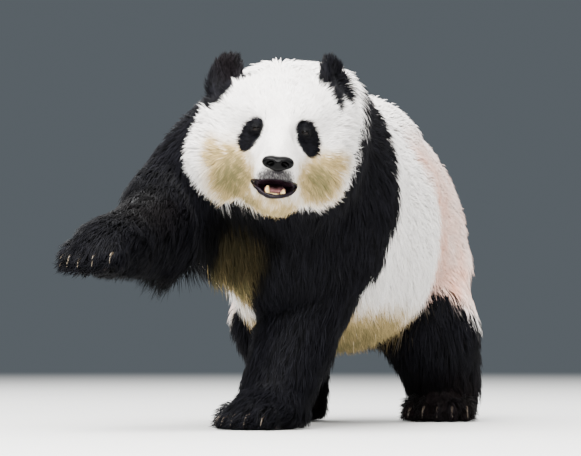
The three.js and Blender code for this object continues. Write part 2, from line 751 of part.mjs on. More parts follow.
// A limb with its foot. Returns its solids in the body's frame.
function makeLimb(name, { joints, radii, paw, colours, fringes }, trunkPieces) {
  const kind = name.startsWith("hind") ? "hind_foot" : "forepaw";
  const side = name.endsWith("left") ? "left" : "right";
  const frame = frameOf(paw.at, [paw.pitch, 0, paw.turn]);
  const field = blend(
    28,
    limb(joints[0], joints[1], radii[0], radii[1]),
    limb(joints[1], joints[2], radii[1], radii[2]),
    inFrame(pawField(paw.hind), frame),
  );
  const shin = paw.flat
    ? new THREE.Vector3(0, 0, 1)
    : new THREE.Vector3(...joints[1]).sub(new THREE.Vector3(...joints[2])).normalize();
  const wrist = { at: joints[2], rear: shin.toArray() };
  const foot = makePaw(`${kind}_${side}`, paw, frame, field, wrist);
  const clipped = (x, y, z) => {
    const along = (x - wrist.at[0]) * shin.x + (y - wrist.at[1]) * shin.y + (z - wrist.at[2]) * shin.z;
    return Math.max(field(x, y, z), -along - SPARE);
  };
  const reach = (axis, way) => {
    const ends = joints.map((j, i) => j[axis] + way * radii[i] * 1.15);
    return way < 0 ? Math.min(...ends) : Math.max(...ends);
  };
  const spec = [40, 42, 46].map((step, axis) => [reach(axis, -1) - 64, step, reach(axis, 1) + 64]);
  const whole = behind(solidOf(skin(clipped, spec)), wrist);
  const knee = { at: joints[1], rear: joints[0].map((c, i) => c - joints[2][i]) };
  const halves = [behind(whole, knee), ahead(whole, knee)].map((half) => carved(half, ...trunkPieces));
  for (const fringe of fringes) {
    const n = Math.floor(fringe.along[0]);
    const neighbours = [halves[1 - n], foot, ...trunkPieces];
    halves[n] = withLocks(halves[n], fringeLocks(field, joints, fringe), ...neighbours);
  }
  addPiece(root, `${name}_upper`, halves[0], colours[0]);
  addPiece(root, `${name}_lower`, halves[1], colours[1]);
  return [...halves, foot];
}

// ---------------------------------------------------------------- the whole animal

const body = solidOf(skin(bodyField, [[-300, 52, 320], [-560, 58, 1000], [110, 52, 810]]));
const headRear = new THREE.Vector3(0, 1, 0).transformDirection(HEAD_FRAME).toArray();
const headSeam = { at: new THREE.Vector3(0, NAPE_SEAM_Y, 0).applyMatrix4(HEAD_FRAME).toArray(), rear: headRear };
const trunk = behind(body, headSeam);
const ears = [earSolid(LEFT), earSolid(RIGHT)];
const neck = carved(ahead(trunk, RUFF_SEAM), ...ears.map((ear) => moved(ear, HEAD_FRAME)));
const behindNeck = behind(trunk, RUFF_SEAM);
const opposite = ({ at, rear }) => ({ at, rear: rear.map((c) => -c) });
const yokeBlock = (onward) =>
  halfSpace(opposite(YOKE_SEAM), onward).intersect(halfSpace(opposite(CHEST_SEAM), onward));
const shoulders = largest(behindNeck.intersect(yokeBlock(GAP / 2)));
const torso = largest(behindNeck.subtract(yokeBlock(-GAP / 2)));
makeHead(ears, neck, shoulders);
addPiece(root, "neck", neck, "white");
addPiece(root, "shoulders", shoulders, "black");

const trunkPieces = [neck, shoulders, torso];
const limbs = Object.entries(LIMBS).flatMap(([name, plan]) => makeLimb(name, plan, trunkPieces));

// The long hair under the belly, in rows from the chest to the groin.
const belly = BELLY_ROWS.flatMap(({ x, from, to, count }) =>
  spread(from, to, count).map((y) => {
    const start = cast(trunkField, [x, y, 0], [0, 0, 1]);
    return lock(trunkField, start, [0.15 * Math.sign(x), 0.9, -0.3], {
      length: 84,
      width: 26,
      lift: 0.12,
      droop: 0.4,
    });
  }),
);
addPiece(root, "torso", withLocks(torso, belly, ...limbs, shoulders), "white");

const tailField = limb(TAIL.root, TAIL.tip, ...TAIL.radii);
const tailShape = solidOf(skin(tailField, [[-64, 25, 64], [820, 25, 990], [260, 25, 510]]));
const tassel = [-50, 0, 50].map((x) => {
  const start = cast(tailField, [x * 0.3, 1100, TAIL.tip[2] + 12], [0, -1, 0]);
  return lock(tailField, start, [0.008 * x, 0.1, -1], { length: 60, width: 20, lift: 0 });
});
addPiece(root, "tail", withLocks(carved(tailShape, torso), tassel, torso), "white");

// The whole stands on the floor at z = 0, with the middle of its footprint box at the origin.
const box = new THREE.Box3().setFromObject(root, true);
root.position.set(-(box.min.x + box.max.x) / 2, -(box.min.y + box.max.y) / 2, -box.min.z);

export default root;
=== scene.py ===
"""A life-size giant panda with its right forepaw raised: the looks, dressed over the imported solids.

Lengths are millimetres in the panda's own frame until a mesh is made: it faces -y, its left side is at +x,
its shoulders stand over the origin and the floor is at z = 0. Making a mesh turns them to metres and moves
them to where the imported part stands. The flesh is one skin, drawn round the same blended fields as the solids
but deeper by the depth of the coat, and the coat is tufts of mesh rooted in it.
"""

import math
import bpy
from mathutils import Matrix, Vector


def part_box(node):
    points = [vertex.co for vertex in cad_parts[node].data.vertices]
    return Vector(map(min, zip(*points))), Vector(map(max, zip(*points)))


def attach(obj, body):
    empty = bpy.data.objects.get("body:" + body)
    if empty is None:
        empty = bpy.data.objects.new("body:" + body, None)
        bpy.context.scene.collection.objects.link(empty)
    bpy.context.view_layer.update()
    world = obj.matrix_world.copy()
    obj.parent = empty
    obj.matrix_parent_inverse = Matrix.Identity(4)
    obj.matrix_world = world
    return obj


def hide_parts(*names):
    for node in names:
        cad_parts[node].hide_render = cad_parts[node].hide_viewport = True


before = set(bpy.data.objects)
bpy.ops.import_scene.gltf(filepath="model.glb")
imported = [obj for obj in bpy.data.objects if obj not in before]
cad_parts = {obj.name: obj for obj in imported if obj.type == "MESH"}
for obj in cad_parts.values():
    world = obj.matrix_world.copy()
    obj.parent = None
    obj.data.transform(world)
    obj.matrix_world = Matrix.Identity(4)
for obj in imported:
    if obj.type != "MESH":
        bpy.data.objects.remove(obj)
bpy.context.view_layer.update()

from types import SimpleNamespace

import bpy
import numpy as np
from mathutils import Euler, Vector

SEED = 20261124
random = np.random.default_rng(SEED)

# ---------------------------------------------------------------- driving sizes, as in the solids

LEFT, RIGHT = 1, -1
SIDE_NAMES = {LEFT: "left", RIGHT: "right"}

NAPE_AT = (61, -190, 574)
RUFF_SEAM = ((0, -165, 570), (-0.15, 0.88, -0.44))
YOKE_SEAM = ((200, 92, 560), (-0.06, 1, -0.05))
CHEST_SEAM = ((20, -150, 335), (-0.38, 0.42, -0.82))
TAIL = {"root": (0, 892, 430), "tip": (0, 938, 325), "radii": (40, 27)}

HEAD_AT = (82, -308, 573)
HEAD_TURNS = (0, 5, 15)
EYE = {"middle": 3.7, "x": 47.3, "z": 16.3, "radius": 11, "sunk": 7.5}
PATCH = {"x": {LEFT: 62, RIGHT: 57}, "z": 3, "half": (23.5, 27, 42), "tilt": {LEFT: 24, RIGHT: 31}}
NOSE_AT = (4, -198, -50)
MOUTH_AT = (2, -150, -99)
EAR_HALF = (43, 17, 58)
EAR_CUP = 0.66
EARS = {
    LEFT: {"at": (103, 30, 119), "turns": (-18, -6, 61)},
    RIGHT: {"at": (-113, 25, 106), "turns": (-6, 11, -32)},
}

LIMBS = {
    "foreleg_left": {
        "joints": ((140, 25, 450), (66, 36, 292), (8, -34, 92)),
        "radii": (112, 98, 73),
        "paw": {"at": (-4, -90, 0), "turns": (0, 0, -30), "hind": False},
    },
    "foreleg_right": {
        "joints": ((-150, 2, 484), (-202, -122, 414), (-222, -320, 378)),
        "radii": (110, 92, 64),
        "paw": {"at": (-240, -378, 330), "turns": (9, 0, -24), "hind": False},
    },
    "hind_leg_left": {
        "joints": ((132, 700, 330), (154, 660, 225), (166, 745, 90)),
        "radii": (118, 108, 80),
        "paw": {"at": (172, 705, 0), "turns": (0, 0, 8), "hind": True},
    },
    "hind_leg_right": {
        "joints": ((-130, 640, 330), (-146, 585, 230), (-150, 655, 90)),
        "radii": (118, 106, 80),
        "paw": {"at": (-150, 605, 0), "turns": (0, 0, -8), "hind": True},
    },
}
TOES = (-2, -1, 0, 1, 2)
TOE_STEP = 27

# ---------------------------------------------------------------- fields: negative inside, positive outside


def turned(turns):
    return np.array(Euler([math.radians(t) for t in turns], "XYZ").to_matrix(), np.float32)


def unit(v):
    v = np.asarray(v, np.float32)
    return v / np.maximum(np.linalg.norm(v, axis=-1, keepdims=True), 1e-9)


def egg(centre, half, turns=(0, 0, 0)):
    """An ellipsoid, in half sizes, turned about its centre."""
    turn, centre, half = turned(turns), np.float32(centre), np.float32(half)

    def field(p):
        u = (p - centre) @ turn / half
        size = np.linalg.norm(u, axis=1)
        steep = np.linalg.norm(u / half, axis=1)
        return np.where(steep > 1e-7, size * (size - 1) / np.maximum(steep, 1e-7), -half.min())

    return field


def limb(a, b, radius_a, radius_b):
    """A tapered limb with round ends."""
    a, b = np.float32(a), np.float32(b)
    d = b - a

    def field(p):
        t = np.clip((p - a) @ d / (d @ d), 0, 1)
        return np.linalg.norm(p - a - t[:, None] * d, axis=1) - (radius_a + (radius_b - radius_a) * t)

    return field


def smooth_min(size, d, e):
    """The lesser of two fields, with a fillet of about the given size where they are close."""
    h = np.maximum(size - np.abs(d - e), 0) / size
    return np.minimum(d, e) - h * h * size / 4


def smooth_max(size, d, e):
    """The greater of two fields, rounded where they are close."""
    return -smooth_min(size, -d, -e)


def blend(size, *fields):
    """Fields joined by a fillet of about the given size."""

    def field(p):
        d = fields[0](p)
        for f in fields[1:]:
            d = smooth_min(size, d, f(p))
        return d

    return field


def dent(size, field, *tools):
    """A field with others pressed out of it, over a soft edge."""

    def dented(p):
        d = field(p)
        for tool in tools:
            d = smooth_max(size, d, -tool(p))
        return d

    return dented


class Frame:
    """A place and turn in the frame round it: local() takes points in, and world() takes them out, as way()
    does with directions, placed() with shapes and field() with fields."""

    def __init__(self, at, turns):
        self.at = np.float32(at)
        self.turn = turned(turns)

    def local(self, p):
        return (np.asarray(p, np.float32) - self.at) @ self.turn

    def world(self, p):
        return np.asarray(p, np.float32) @ self.turn.T + self.at

    def way(self, v):
        return np.asarray(v, np.float32) @ self.turn.T

    def field(self, inner):
        return lambda p: inner(self.local(p))

    def placed(self, shape):
        points, faces = shape
        return self.world(points), faces


def step_to(low, high, x):
    """0 below low, 1 above high, smooth between."""
    t = np.clip((x - low) / (high - low), 0, 1)
    return t * t * (3 - 2 * t)


def hump(x, middle, spread):
    """1 at the middle, falling off smoothly on both sides."""
    return np.exp(-(((x - middle) / spread) ** 2))


def reach(p, at, half):
    """How far points lie from a place, counted in half sizes."""
    return np.linalg.norm((p - np.float32(at)) / np.float32(half), axis=1)


def beyond(seam, p):
    """How far points stand on the rear side of a seam."""
    at, rear = seam
    return (p - np.float32(at)) @ unit(rear)


def ripple(p, size, seed):
    """Smooth noise between about -1 and 1, with waves of about the given size."""
    waves = np.random.default_rng(seed)
    total = np.zeros(len(p), np.float32)
    for _ in range(6):
        way = unit(waves.normal(size=3)) * (2 * math.pi / size) * waves.uniform(0.6, 1.5)
        total += np.sin(p @ way.astype(np.float32) + waves.uniform(0, 2 * math.pi))
    return total / 3


trunk_field = blend(
    90,
    egg((0, 130, 452), (218, 270, 244)),  # chest
    egg((0, 415, 430), (236, 330, 262)),  # barrel
    egg((0, 675, 415), (216, 245, 240)),  # rump
    limb((0, 0, 556), NAPE_AT, 172, 164),  # withers and neck
    egg((5, -75, 425), (160, 125, 150)),  # breast
    egg((160, -176, 654), (44, 60, 44)),  # the ruff behind the left ear
    egg((114, 40, 512), (100, 150, 165)),  # shoulder blades
    egg((-118, 5, 500), (100, 150, 150)),
    egg((118, 715, 350), (108, 165, 170)),  # haunches
    egg((-112, 655, 350), (108, 170, 170)),
)
head_field = dent(
    14,
    blend(
        42,
        egg((0, 10, 20), (150, 128, 115)),  # cranium
        egg((-98, -4, -40), (90, 98, 85)),  # cheeks
        egg((80, -4, -42), (80, 98, 84)),
        limb((0, -65, -38), (2, -158, -62), 70, 43),  # muzzle
        egg((1, -105, -10), (34, 72, 34)),  # bridge
        limb((0, -40, -93), (2, -134, -113), 58, 31),  # lower jaw
        egg((44, -78, 46), (40, 42, 32)),  # brows
        egg((-44, -78, 46), (40, 42, 32)),
    ),
    egg((-50, -138, 10), (20, 20, 24)),  # orbits
    egg((50, -138, 10), (20, 20, 24)),
)


def toe_front(hind, i):
    """How far forward a toe's middle lies, in its paw's frame."""
    return (-68 if hind else -56) + i * i * 5


def paw_field(hind):
    """A paw with its five toes, in its own frame."""
    palm = egg((0, 32, 34), (60, 108, 50)) if hind else egg((0, 14, 38), (68, 82, 56))
    toes = [egg((i * TOE_STEP, toe_front(hind, i), 22), (18, 33, 32), (0, 0, i * 7)) for i in TOES]
    return blend(14, palm, *toes)


def ear_field():
    """An ear with its cup, in its own frame."""
    wide, thick, tall = EAR_HALF
    cup = egg((0, -thick * 1.25, 4), (wide * EAR_CUP, thick * 1.1, tall * EAR_CUP))
    return dent(8, egg((0, 0, 0), EAR_HALF), cup)


HEAD = Frame(HEAD_AT, HEAD_TURNS)
PAWS = {name: Frame(plan["paw"]["at"], plan["paw"]["turns"]) for name, plan in LIMBS.items()}
EAR_FRAMES = {side: Frame(e["at"], e["turns"]) for side, e in EARS.items()}
EAR_FIELDS = {side: EAR_FRAMES[side].field(ear_field()) for side in EARS}
PAW_FIELDS = {name: PAWS[name].field(paw_field(plan["paw"]["hind"])) for name, plan in LIMBS.items()}
LEG_FIELDS = {
    name: blend(28, *[limb(*plan["joints"][n : n + 2], *plan["radii"][n : n + 2]) for n in (0, 1)])
    for name, plan in LIMBS.items()
}
tail_field = limb(TAIL["root"], TAIL["tip"], *TAIL["radii"])
BEFORE_FACE = -260  # in the head's frame


def face_points(places):
    """Where lines straight back from before the face first meet the head, from places (across, up)."""
    p = np.float32([(x, BEFORE_FACE, z) for x, z in places])
    for _ in range(80):
        d = head_field(p)
        p[:, 1] += np.where(d > 0.05, d * 0.8, 0)
    return p


def eye_centre(side):
    """The middle of an eyeball, sunk into its orbit."""
    brow = face_points([(EYE["middle"] + side * EYE["x"], EYE["z"])])[0]
    return brow + np.float32((0, EYE["sunk"], 0))


EYES = {side: eye_centre(side) for side in EARS}

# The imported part's place: the box of an eyeball gives it exactly.
low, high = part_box("eye_left")
SHIFT = np.array((low + high) / 2 * 1000) - HEAD.world(EYES[LEFT])


def metres(p):
    """Points of the panda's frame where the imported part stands, in metres."""
    return (np.asarray(p, np.float64) + SHIFT) / 1000


# ---------------------------------------------------------------- camera

# How it stands to the photo: degrees round from the front, millimetres, degrees up, and pixels.
CAMERA = {"azimuth": 15, "distance": 10000, "height": 250, "aside": 23.3, "tilt": 0.893, "focal_px": 4939}
IMAGE_WIDTH = 581  # pixels
SENSOR = 36  # millimetres


def add_object(name, data):
    """A new object in the scene."""
    obj = bpy.data.objects.new(name, data)
    bpy.context.scene.collection.objects.link(obj)
    return obj


def make_camera():
    """The photo's camera: far off, a little to the panda's left, and nearly level."""
    data = bpy.data.cameras.new("camera")
    data.sensor_width = SENSOR
    data.lens = CAMERA["focal_px"] * SENSOR / IMAGE_WIDTH
    data.clip_end = 200
    camera = add_object("camera", data)
    a = math.radians(CAMERA["azimuth"])
    right = np.array((math.cos(a), math.sin(a), 0))
    back = np.array((math.sin(a), -math.cos(a), 0))
    at = back * CAMERA["distance"] + right * CAMERA["aside"] + np.array((0, 0, CAMERA["height"]))
    camera.location = metres(at)
    camera.rotation_euler = (math.radians(90 + CAMERA["tilt"]), 0, a)
    bpy.context.scene.camera = camera


make_camera()

# ---------------------------------------------------------------- meshes


def lines(*spec):
    """Grid lines from stops and steps: from, step, to, step, to, ..."""
    out = [spec[0]]
    for step, to in zip(spec[1::2], spec[2::2]):
        start = out[-1]
        count = max(1, round((to - start) / step))
        out += [start + (to - start) * n / count for n in range(1, count + 1)]
    return np.array(out, np.float32)


CORNERS = np.array([[n & 1, (n >> 1) & 1, n >> 2] for n in range(8)])
CELL_EDGES = [(a, b) for a in range(8) for b in range(a + 1, 8) if bin(a ^ b).count("1") == 1]
CHUNK = 150000  # the most points that a field is read at in one go, to save memory


def in_chunks(field, p):
    return np.concatenate([field(p[i : i + CHUNK]) for i in range(0, len(p), CHUNK)])


def grid_values(field, grid, near):
    """A field on a grid: read on every fourth line first, and then exactly where it is nearer than near."""
    coarse = [np.unique(np.append(np.arange(0, len(g), 4), len(g) - 1)) for g in grid]
    nearest = [np.abs(np.arange(len(g))[:, None] - c[None]).argmin(1) for g, c in zip(grid, coarse)]
    stops = np.stack(np.meshgrid(*[g[c] for g, c in zip(grid, coarse)], indexing="ij"), -1)
    rough = in_chunks(field, stops.reshape(-1, 3)).reshape(stops.shape[:3])
    values = rough[np.ix_(*nearest)].astype(np.float32)
    band = np.argwhere(np.abs(values) < near)
    at = np.stack([grid[axis][band[:, axis]] for axis in range(3)], -1)
    values[tuple(band.T)] = in_chunks(field, at)
    return values


def cell_points(values, grid, cells):
    """A point in each cell: the middle of the places where the surface cuts the cell's edges."""
    corner = [tuple((cells + c).T) for c in CORNERS]
    place = [np.stack([grid[axis][cells[:, axis] + c[axis]] for axis in range(3)], -1) for c in CORNERS]
    total = np.zeros((len(cells), 3), np.float64)
    hits = np.zeros(len(cells))
    for a, b in CELL_EDGES:
        va, vb = values[corner[a]], values[corner[b]]
        cut = (va < 0) != (vb < 0)
        t = np.where(cut, va / np.where(cut, va - vb, 1), 0)[:, None]
        total += np.where(cut[:, None], place[a] * (1 - t) + place[b] * t, 0)
        hits += cut
    return total / hits[:, None]


def cell_quads(inside, number):
    """A quad for each grid line's step through the surface, between the points of the four cells round it."""
    quads = []
    last = np.array(number.shape) - 1
    for axis in range(3):
        u, v = [(1, 2), (2, 0), (0, 1)][axis]
        change = np.diff(inside.astype(np.int8), axis=axis)
        for into in (-1, 1):
            edge = np.argwhere(change == into)
            edge = edge[(edge[:, u] > 0) & (edge[:, v] > 0)]
            ring = []
            for du, dv in ((0, 0), (1, 0), (1, 1), (0, 1)):
                cell = edge.copy()
                cell[:, u] -= du
                cell[:, v] -= dv
                ring.append(number[tuple(np.minimum(cell, last).T)])
            quads.append(np.stack(ring if into < 0 else ring[::-1], -1))
    quads = np.concatenate(quads)
    return quads[(quads >= 0).all(1)]


def skin_of(field, grid, near):
    """The surface where a field is zero, as points and quads: one point in each grid cell that it crosses."""
    values = grid_values(field, grid, near)
    inside = values < 0
    count = np.zeros(np.array(inside.shape) - 1, np.int8)
    for a, b, c in CORNERS:
        count += inside[a : a - 1 or None, b : b - 1 or None, c : c - 1 or None]
    cells = np.argwhere((count > 0) & (count < 8))
    number = np.full(count.shape, -1, np.int64)
    number[tuple(cells.T)] = np.arange(len(cells))
    return cell_points(values, grid, cells), cell_quads(inside, number)


def new_piece(name, points, loops, totals, material):
    """A smooth piece from points in the panda's frame, its faces' corners and how many each face has."""
    mesh = bpy.data.meshes.new(name)
    mesh.vertices.add(len(points))
    mesh.vertices.foreach_set("co", metres(points).astype(np.float32).ravel())
    mesh.loops.add(len(loops))
    mesh.loops.foreach_set("vertex_index", loops.astype(np.int32))
    mesh.polygons.add(len(totals))
    starts = np.concatenate([[0], np.cumsum(totals)[:-1]])
    mesh.polygons.foreach_set("loop_start", starts.astype(np.int32))
    mesh.polygons.foreach_set("use_smooth", np.full(len(totals), True))
    mesh.update(calc_edges=True)
    mesh.materials.append(material)
    return add_object(name, mesh)


def paint(obj, **layers):
    """Numbers on the points of a piece, which its material reads by name."""
    for name, values in layers.items():
        layer = obj.data.attributes.new(name, "FLOAT", "POINT")
        layer.data.foreach_set("value", np.asarray(values, np.float32))


def finish_piece(obj, slot, *nodes):
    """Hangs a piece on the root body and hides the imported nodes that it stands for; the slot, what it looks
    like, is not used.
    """
    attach(obj, "root")
    if nodes:
        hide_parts(*nodes)


def add_piece(name, shape, material, slot, *nodes, **layers):
    """A finished piece from a shape: points, and groups of faces with as many corners each."""
    points, faces = shape
    loops = np.concatenate([group.ravel() for group in faces])
    totals = np.concatenate([np.full(len(group), group.shape[1]) for group in faces])
    obj = new_piece(name, points, loops, totals, material)
    paint(obj, **layers)
    finish_piece(obj, slot, *nodes)


def curve_through(stops, steps, closed=False):
    """Points on a smooth curve through some stops."""
    stops = np.array(stops, np.float64)
    n = len(stops)
    spans = n if closed else n - 1
    out = []
    for s in np.linspace(0, spans, steps, endpoint=not closed):
        i = min(int(s), spans - 1)
        t = s - i
        pick = [(i + k) % n if closed else min(max(i + k, 0), n - 1) for k in (-1, 0, 1, 2)]
        a, b, c, d = stops[pick]
        curve = 2 * b + (c - a) * t + (2 * a - 5 * b + 4 * c - d) * t * t + (3 * b - a - 3 * c + d) * t ** 3
        out.append(0.5 * curve)
    return np.array(out)


def ring_faces(rows, sides, closed=False):
    """Quads between rows of points and, unless they close, fans to the two end points that follow them."""
    i, s = np.meshgrid(np.arange(rows if closed else rows - 1), np.arange(sides), indexing="ij")
    j, r = (i + 1) % rows, (s + 1) % sides
    quads = np.stack([i * sides + s, j * sides + s, j * sides + r, i * sides + r], -1).reshape(-1, 4)
    if closed:
        return [quads]
    s = np.arange(sides)
    r = (s + 1) % sides
    last = (rows - 1) * sides
    first_fan = np.stack([s, r, np.full(sides, rows * sides)], -1)
    last_fan = np.stack([last + r, last + s, np.full(sides, rows * sides + 1)], -1)
    return [quads, first_fan, last_fan]


def tube(stops, widths, thicknesses=None, sides=10, steps=14, up=(0, 0, 1), closed=False):
    """A tapered tube round a smooth curve, as points and faces, closed at its ends or into a ring."""
    path = curve_through(stops, steps, closed)
    t = np.linspace(0, 1, steps, endpoint=not closed)
    stops_at = np.linspace(0, 1, len(widths))
    wide = np.interp(t, stops_at, widths)
    thick = np.interp(t, stops_at, thicknesses or widths)
    along = unit(np.roll(path, -1, 0) - np.roll(path, 1, 0) if closed else np.gradient(path, axis=0))
    across = unit(np.cross(along, np.float32(up)))
    over = unit(np.cross(across, along))
    a = np.linspace(0, 2 * math.pi, sides, endpoint=False)
    rings = (
        path[:, None]
        + across[:, None] * (wide[:, None] * np.cos(a))[..., None]
        + over[:, None] * (thick[:, None] * np.sin(a))[..., None]
    )
    ends = [] if closed else [path[[0, -1]]]
    return np.concatenate([rings.reshape(-1, 3), *ends]), ring_faces(steps, sides, closed)


def joined(shapes):
    """Several (points, faces) as one."""
    points, faces, n = [], [], 0
    for own_points, own_faces in shapes:
        points.append(own_points)
        faces += [group + n for group in own_faces]
        n += len(own_points)
    return np.concatenate(points), faces


def ball(rings=24, segments=36):
    """A round ball of radius 1 with its pole towards -y, as points and faces."""
    down = np.linspace(0, math.pi, rings + 1)[1:-1]
    turn = np.linspace(0, 2 * math.pi, segments, endpoint=False)
    down, turn = np.meshgrid(down, turn, indexing="ij")
    shell = np.stack([np.sin(down) * np.cos(turn), -np.cos(down), np.sin(down) * np.sin(turn)], -1)
    points = np.concatenate([shell.reshape(-1, 3), [[0, -1, 0], [0, 1, 0]]])
    return points, ring_faces(rings - 1, segments)


# ---------------------------------------------------------------- the flesh under the coat

# How deep the skin lies under the solids' surface.
DEPTH = {"trunk": 12, "leg": 9, "paw": 5, "tail": 12, "ear": 5}
FACE_DEPTH = (2.5, 15)  # at the nose and at the back of the head
FACE_FROM = (2, -175, -50)  # the nose, from which the coat deepens over this reach
FACE_REACH = 190
# How much deeper where the head's coat stands off more, and where in the head's frame that sets in.
CHEEKS = {"deeper": 9, "across": (95, 145), "up": (30, -20)}
JOWL = {"deeper": 6, "across": (30, 100), "back": (-140, -90), "up": (0, -60)}  # of the left cheek
EAR_EDGE = {"deeper": 8, "across": (-98, -80)}  # the inner one of the right ear


def face_share(q):
    """0 at the nose, 1 from the ears back, in the head's frame."""
    return np.clip(np.linalg.norm(q - np.float32(FACE_FROM), axis=1) / FACE_REACH, 0, 1)


# Zones of the body where it lies deeper, or less deep where the coat is fuller: middle, half sizes, depth.
TRIMS = (
    ((240, 690, 440), (150, 330, 260), 21),  # left haunch and flank
    ((260, 770, 260), (120, 200, 110), 15),
    ((150, 430, 670), (150, 250, 120), -19),  # back, behind the left shoulder
    ((-245, -60, 535), (130, 160, 140), -20),  # top of the raised foreleg
    ((250, 20, 420), (90, 150, 130), 18),  # outer side of the left foreleg
    ((120, 60, 290), (90, 110, 190), 15),  # rear of the left foreleg
    ((-170, 90, 265), (110, 190, 120), 42),  # right armpit, the breast before it, and the belly behind it
    ((-122, -70, 268), (84, 150, 84), 54),
    ((-200, 330, 270), (120, 260, 140), 38),
)

REGIONS = ["trunk", "head", "ear", "leg", "paw", "tail"]
SHARPNESS = 12  # how near, in millimetres, another part has to be to share a point
HEAD_LEAD = 4  # how much nearer than it is the head counts


def survey(p):
    """The fields of the panda's parts at some points, and how much each region counts there."""
    q = HEAD.local(p)
    ears = {side: field(q) for side, field in EAR_FIELDS.items()}
    legs = {name: field(p) for name, field in LEG_FIELDS.items()}
    paws = {name: field(p) for name, field in PAW_FIELDS.items()}
    near = {
        "trunk": trunk_field(p),
        "head": head_field(q),
        "ear": np.minimum(ears[LEFT], ears[RIGHT]),
        "leg": np.min(list(legs.values()), axis=0),
        "paw": np.min(list(paws.values()), axis=0),
        "tail": tail_field(p),
    }
    stack = np.stack([near[name] for name in REGIONS])
    stack[REGIONS.index("head")] -= HEAD_LEAD
    share = np.exp(-np.clip((stack - stack.min(0)) / SHARPNESS, 0, 40))
    share = dict(zip(REGIONS, share / share.sum(0)))
    return SimpleNamespace(p=p, q=q, ears=ears, legs=legs, paws=paws, near=near, share=share)


def depth_of(s):
    """How deep the skin lies under the solids' surface."""
    x, y, z = s.q.T
    face = FACE_DEPTH[0] + (FACE_DEPTH[1] - FACE_DEPTH[0]) * face_share(s.q) ** 1.5
    face = face * (1 - 0.6 * step_to(26, 6, s.near["ear"]))
    face += CHEEKS["deeper"] * step_to(*CHEEKS["across"], np.abs(x - 2)) * step_to(*CHEEKS["up"], z)
    face += JOWL["deeper"] * step_to(*JOWL["across"], x) * step_to(*JOWL["up"], z) * step_to(*JOWL["back"], y)
    depth = s.share["head"] * face + sum(s.share[name] * deep for name, deep in DEPTH.items())
    depth += EAR_EDGE["deeper"] * s.share["ear"] * (x < 0) * step_to(*EAR_EDGE["across"], x)
    for at, half, deeper in TRIMS:
        depth += deeper * step_to(1, 0.2, reach(s.p, at, half)) * (1 - s.share["head"])
    return depth


# The inner edge of the lips, across and up in the head's frame: over the upper lip, back along the lower one.
LIP_LINE = (
    *((-44, -86), (-29, -85), (-12, -82), (6, -81), (24, -83), (43, -88)),
    *((37, -101), (24, -109), (4, -113), (-14, -111), (-27, -103), (-37, -95)),
)
LIP_RING = curve_through(LIP_LINE, 48, closed=True)
MOUTH_REACH = (-138, -60)  # from where the mouth narrows, and where it ends
LIP_CORNER = {"x": 44, "spread": 12}  # from the middle of the mouth


def ring_distance(u, ring):
    """How far points of a plane lie outside a ring, negative inside."""
    least = np.full(len(u), 1e6)
    inside = np.zeros(len(u), bool)
    for a, b in zip(ring, np.roll(ring, -1, 0)):
        edge, to = b - a, u - a
        t = np.clip(to @ edge / (edge @ edge), 0, 1)
        least = np.minimum(least, np.linalg.norm(to - t[:, None] * edge, axis=1))
        level = (a[1] > u[:, 1]) != (b[1] > u[:, 1])
        inside ^= level & (to[:, 0] < edge[0] * to[:, 1] / (edge[1] if edge[1] else 1))
    return np.where(inside, -least, least)


def mouth_hollow(q):
    """The open mouth: the ring of the lips, narrowing inwards."""
    d = np.full(len(q), 40, np.float32)
    near = (np.abs(q[:, 0]) < 80) & (np.abs(q[:, 2] - MOUTH_AT[2]) < 50) & (q[:, 1] < MOUTH_REACH[1])
    ring = ring_distance(q[near][:, [0, 2]], LIP_RING)
    d[near] = ring + 0.5 * np.maximum(q[near, 1] - MOUTH_REACH[0], 0)
    return np.minimum(d, 40)


def mouth_corner(q):
    """1 at the corners of the mouth, 0 away from them."""
    return hump(np.abs(q[:, 0] - MOUTH_AT[0]), LIP_CORNER["x"], LIP_CORNER["spread"])


EYE_SLIT = (7.6, 4.8)  # half width and half height
LID_DEPTH = 1.3  # of the lids over the eyeball


def eye_slit(side):
    """The opening between the lids."""
    x, y, z = EYES[side]
    return egg((x, y - 8, z - 1.5), (EYE_SLIT[0], 14, EYE_SLIT[1]), (0, side * 8, 0))


def eyelids(side):
    """The lids, a shell over the ball of the eye."""
    return egg(EYES[side], (EYE["radius"] + LID_DEPTH,) * 3)


def nostril(side):
    x, y, z = NOSE_AT
    return egg((x + side * 15.5, y - 14, z - 2.5), (8.6, 9, 4.8), (0, side * 20, 0))


def nose_shape():
    """The bare leather of the nose."""
    x, y, z = NOSE_AT
    bridge = egg((x, y, z + 1), (27, 17, 11))
    wings = [egg((x + side * 15, y + 1, z + 1), (15, 15, 11)) for side in (RIGHT, LEFT)]
    tip = egg((x, y + 2, z - 7), (10, 14, 9))
    return dent(5, blend(10, bridge, *wings, tip), nostril(LEFT), nostril(RIGHT))


nose_field = nose_shape()
SOLE = 0.4  # the height of the soles over the floor


def flesh(p):
    """The skin: the blended parts, shrunk by the coat's depth, with the mouth and the eyes opened."""
    s = survey(p)
    d = smooth_min(32, s.near["trunk"], s.near["head"])
    for name in LIMBS:
        d = smooth_min(24, d, smooth_min(28, s.legs[name], s.paws[name]))
    d = smooth_min(20, d, s.near["tail"])
    d = smooth_min(10, d, s.near["ear"]) + depth_of(s)
    d = smooth_max(5, d, -mouth_hollow(s.q))
    for side in (LEFT, RIGHT):
        d = smooth_min(6, d, eyelids(side)(s.q))
        d = smooth_max(1.5, d, -eye_slit(side)(s.q))
    return np.maximum(d, SOLE - p[:, 2])


# ---------------------------------------------------------------- markings

EDGE = 10  # the width of the change from white to black
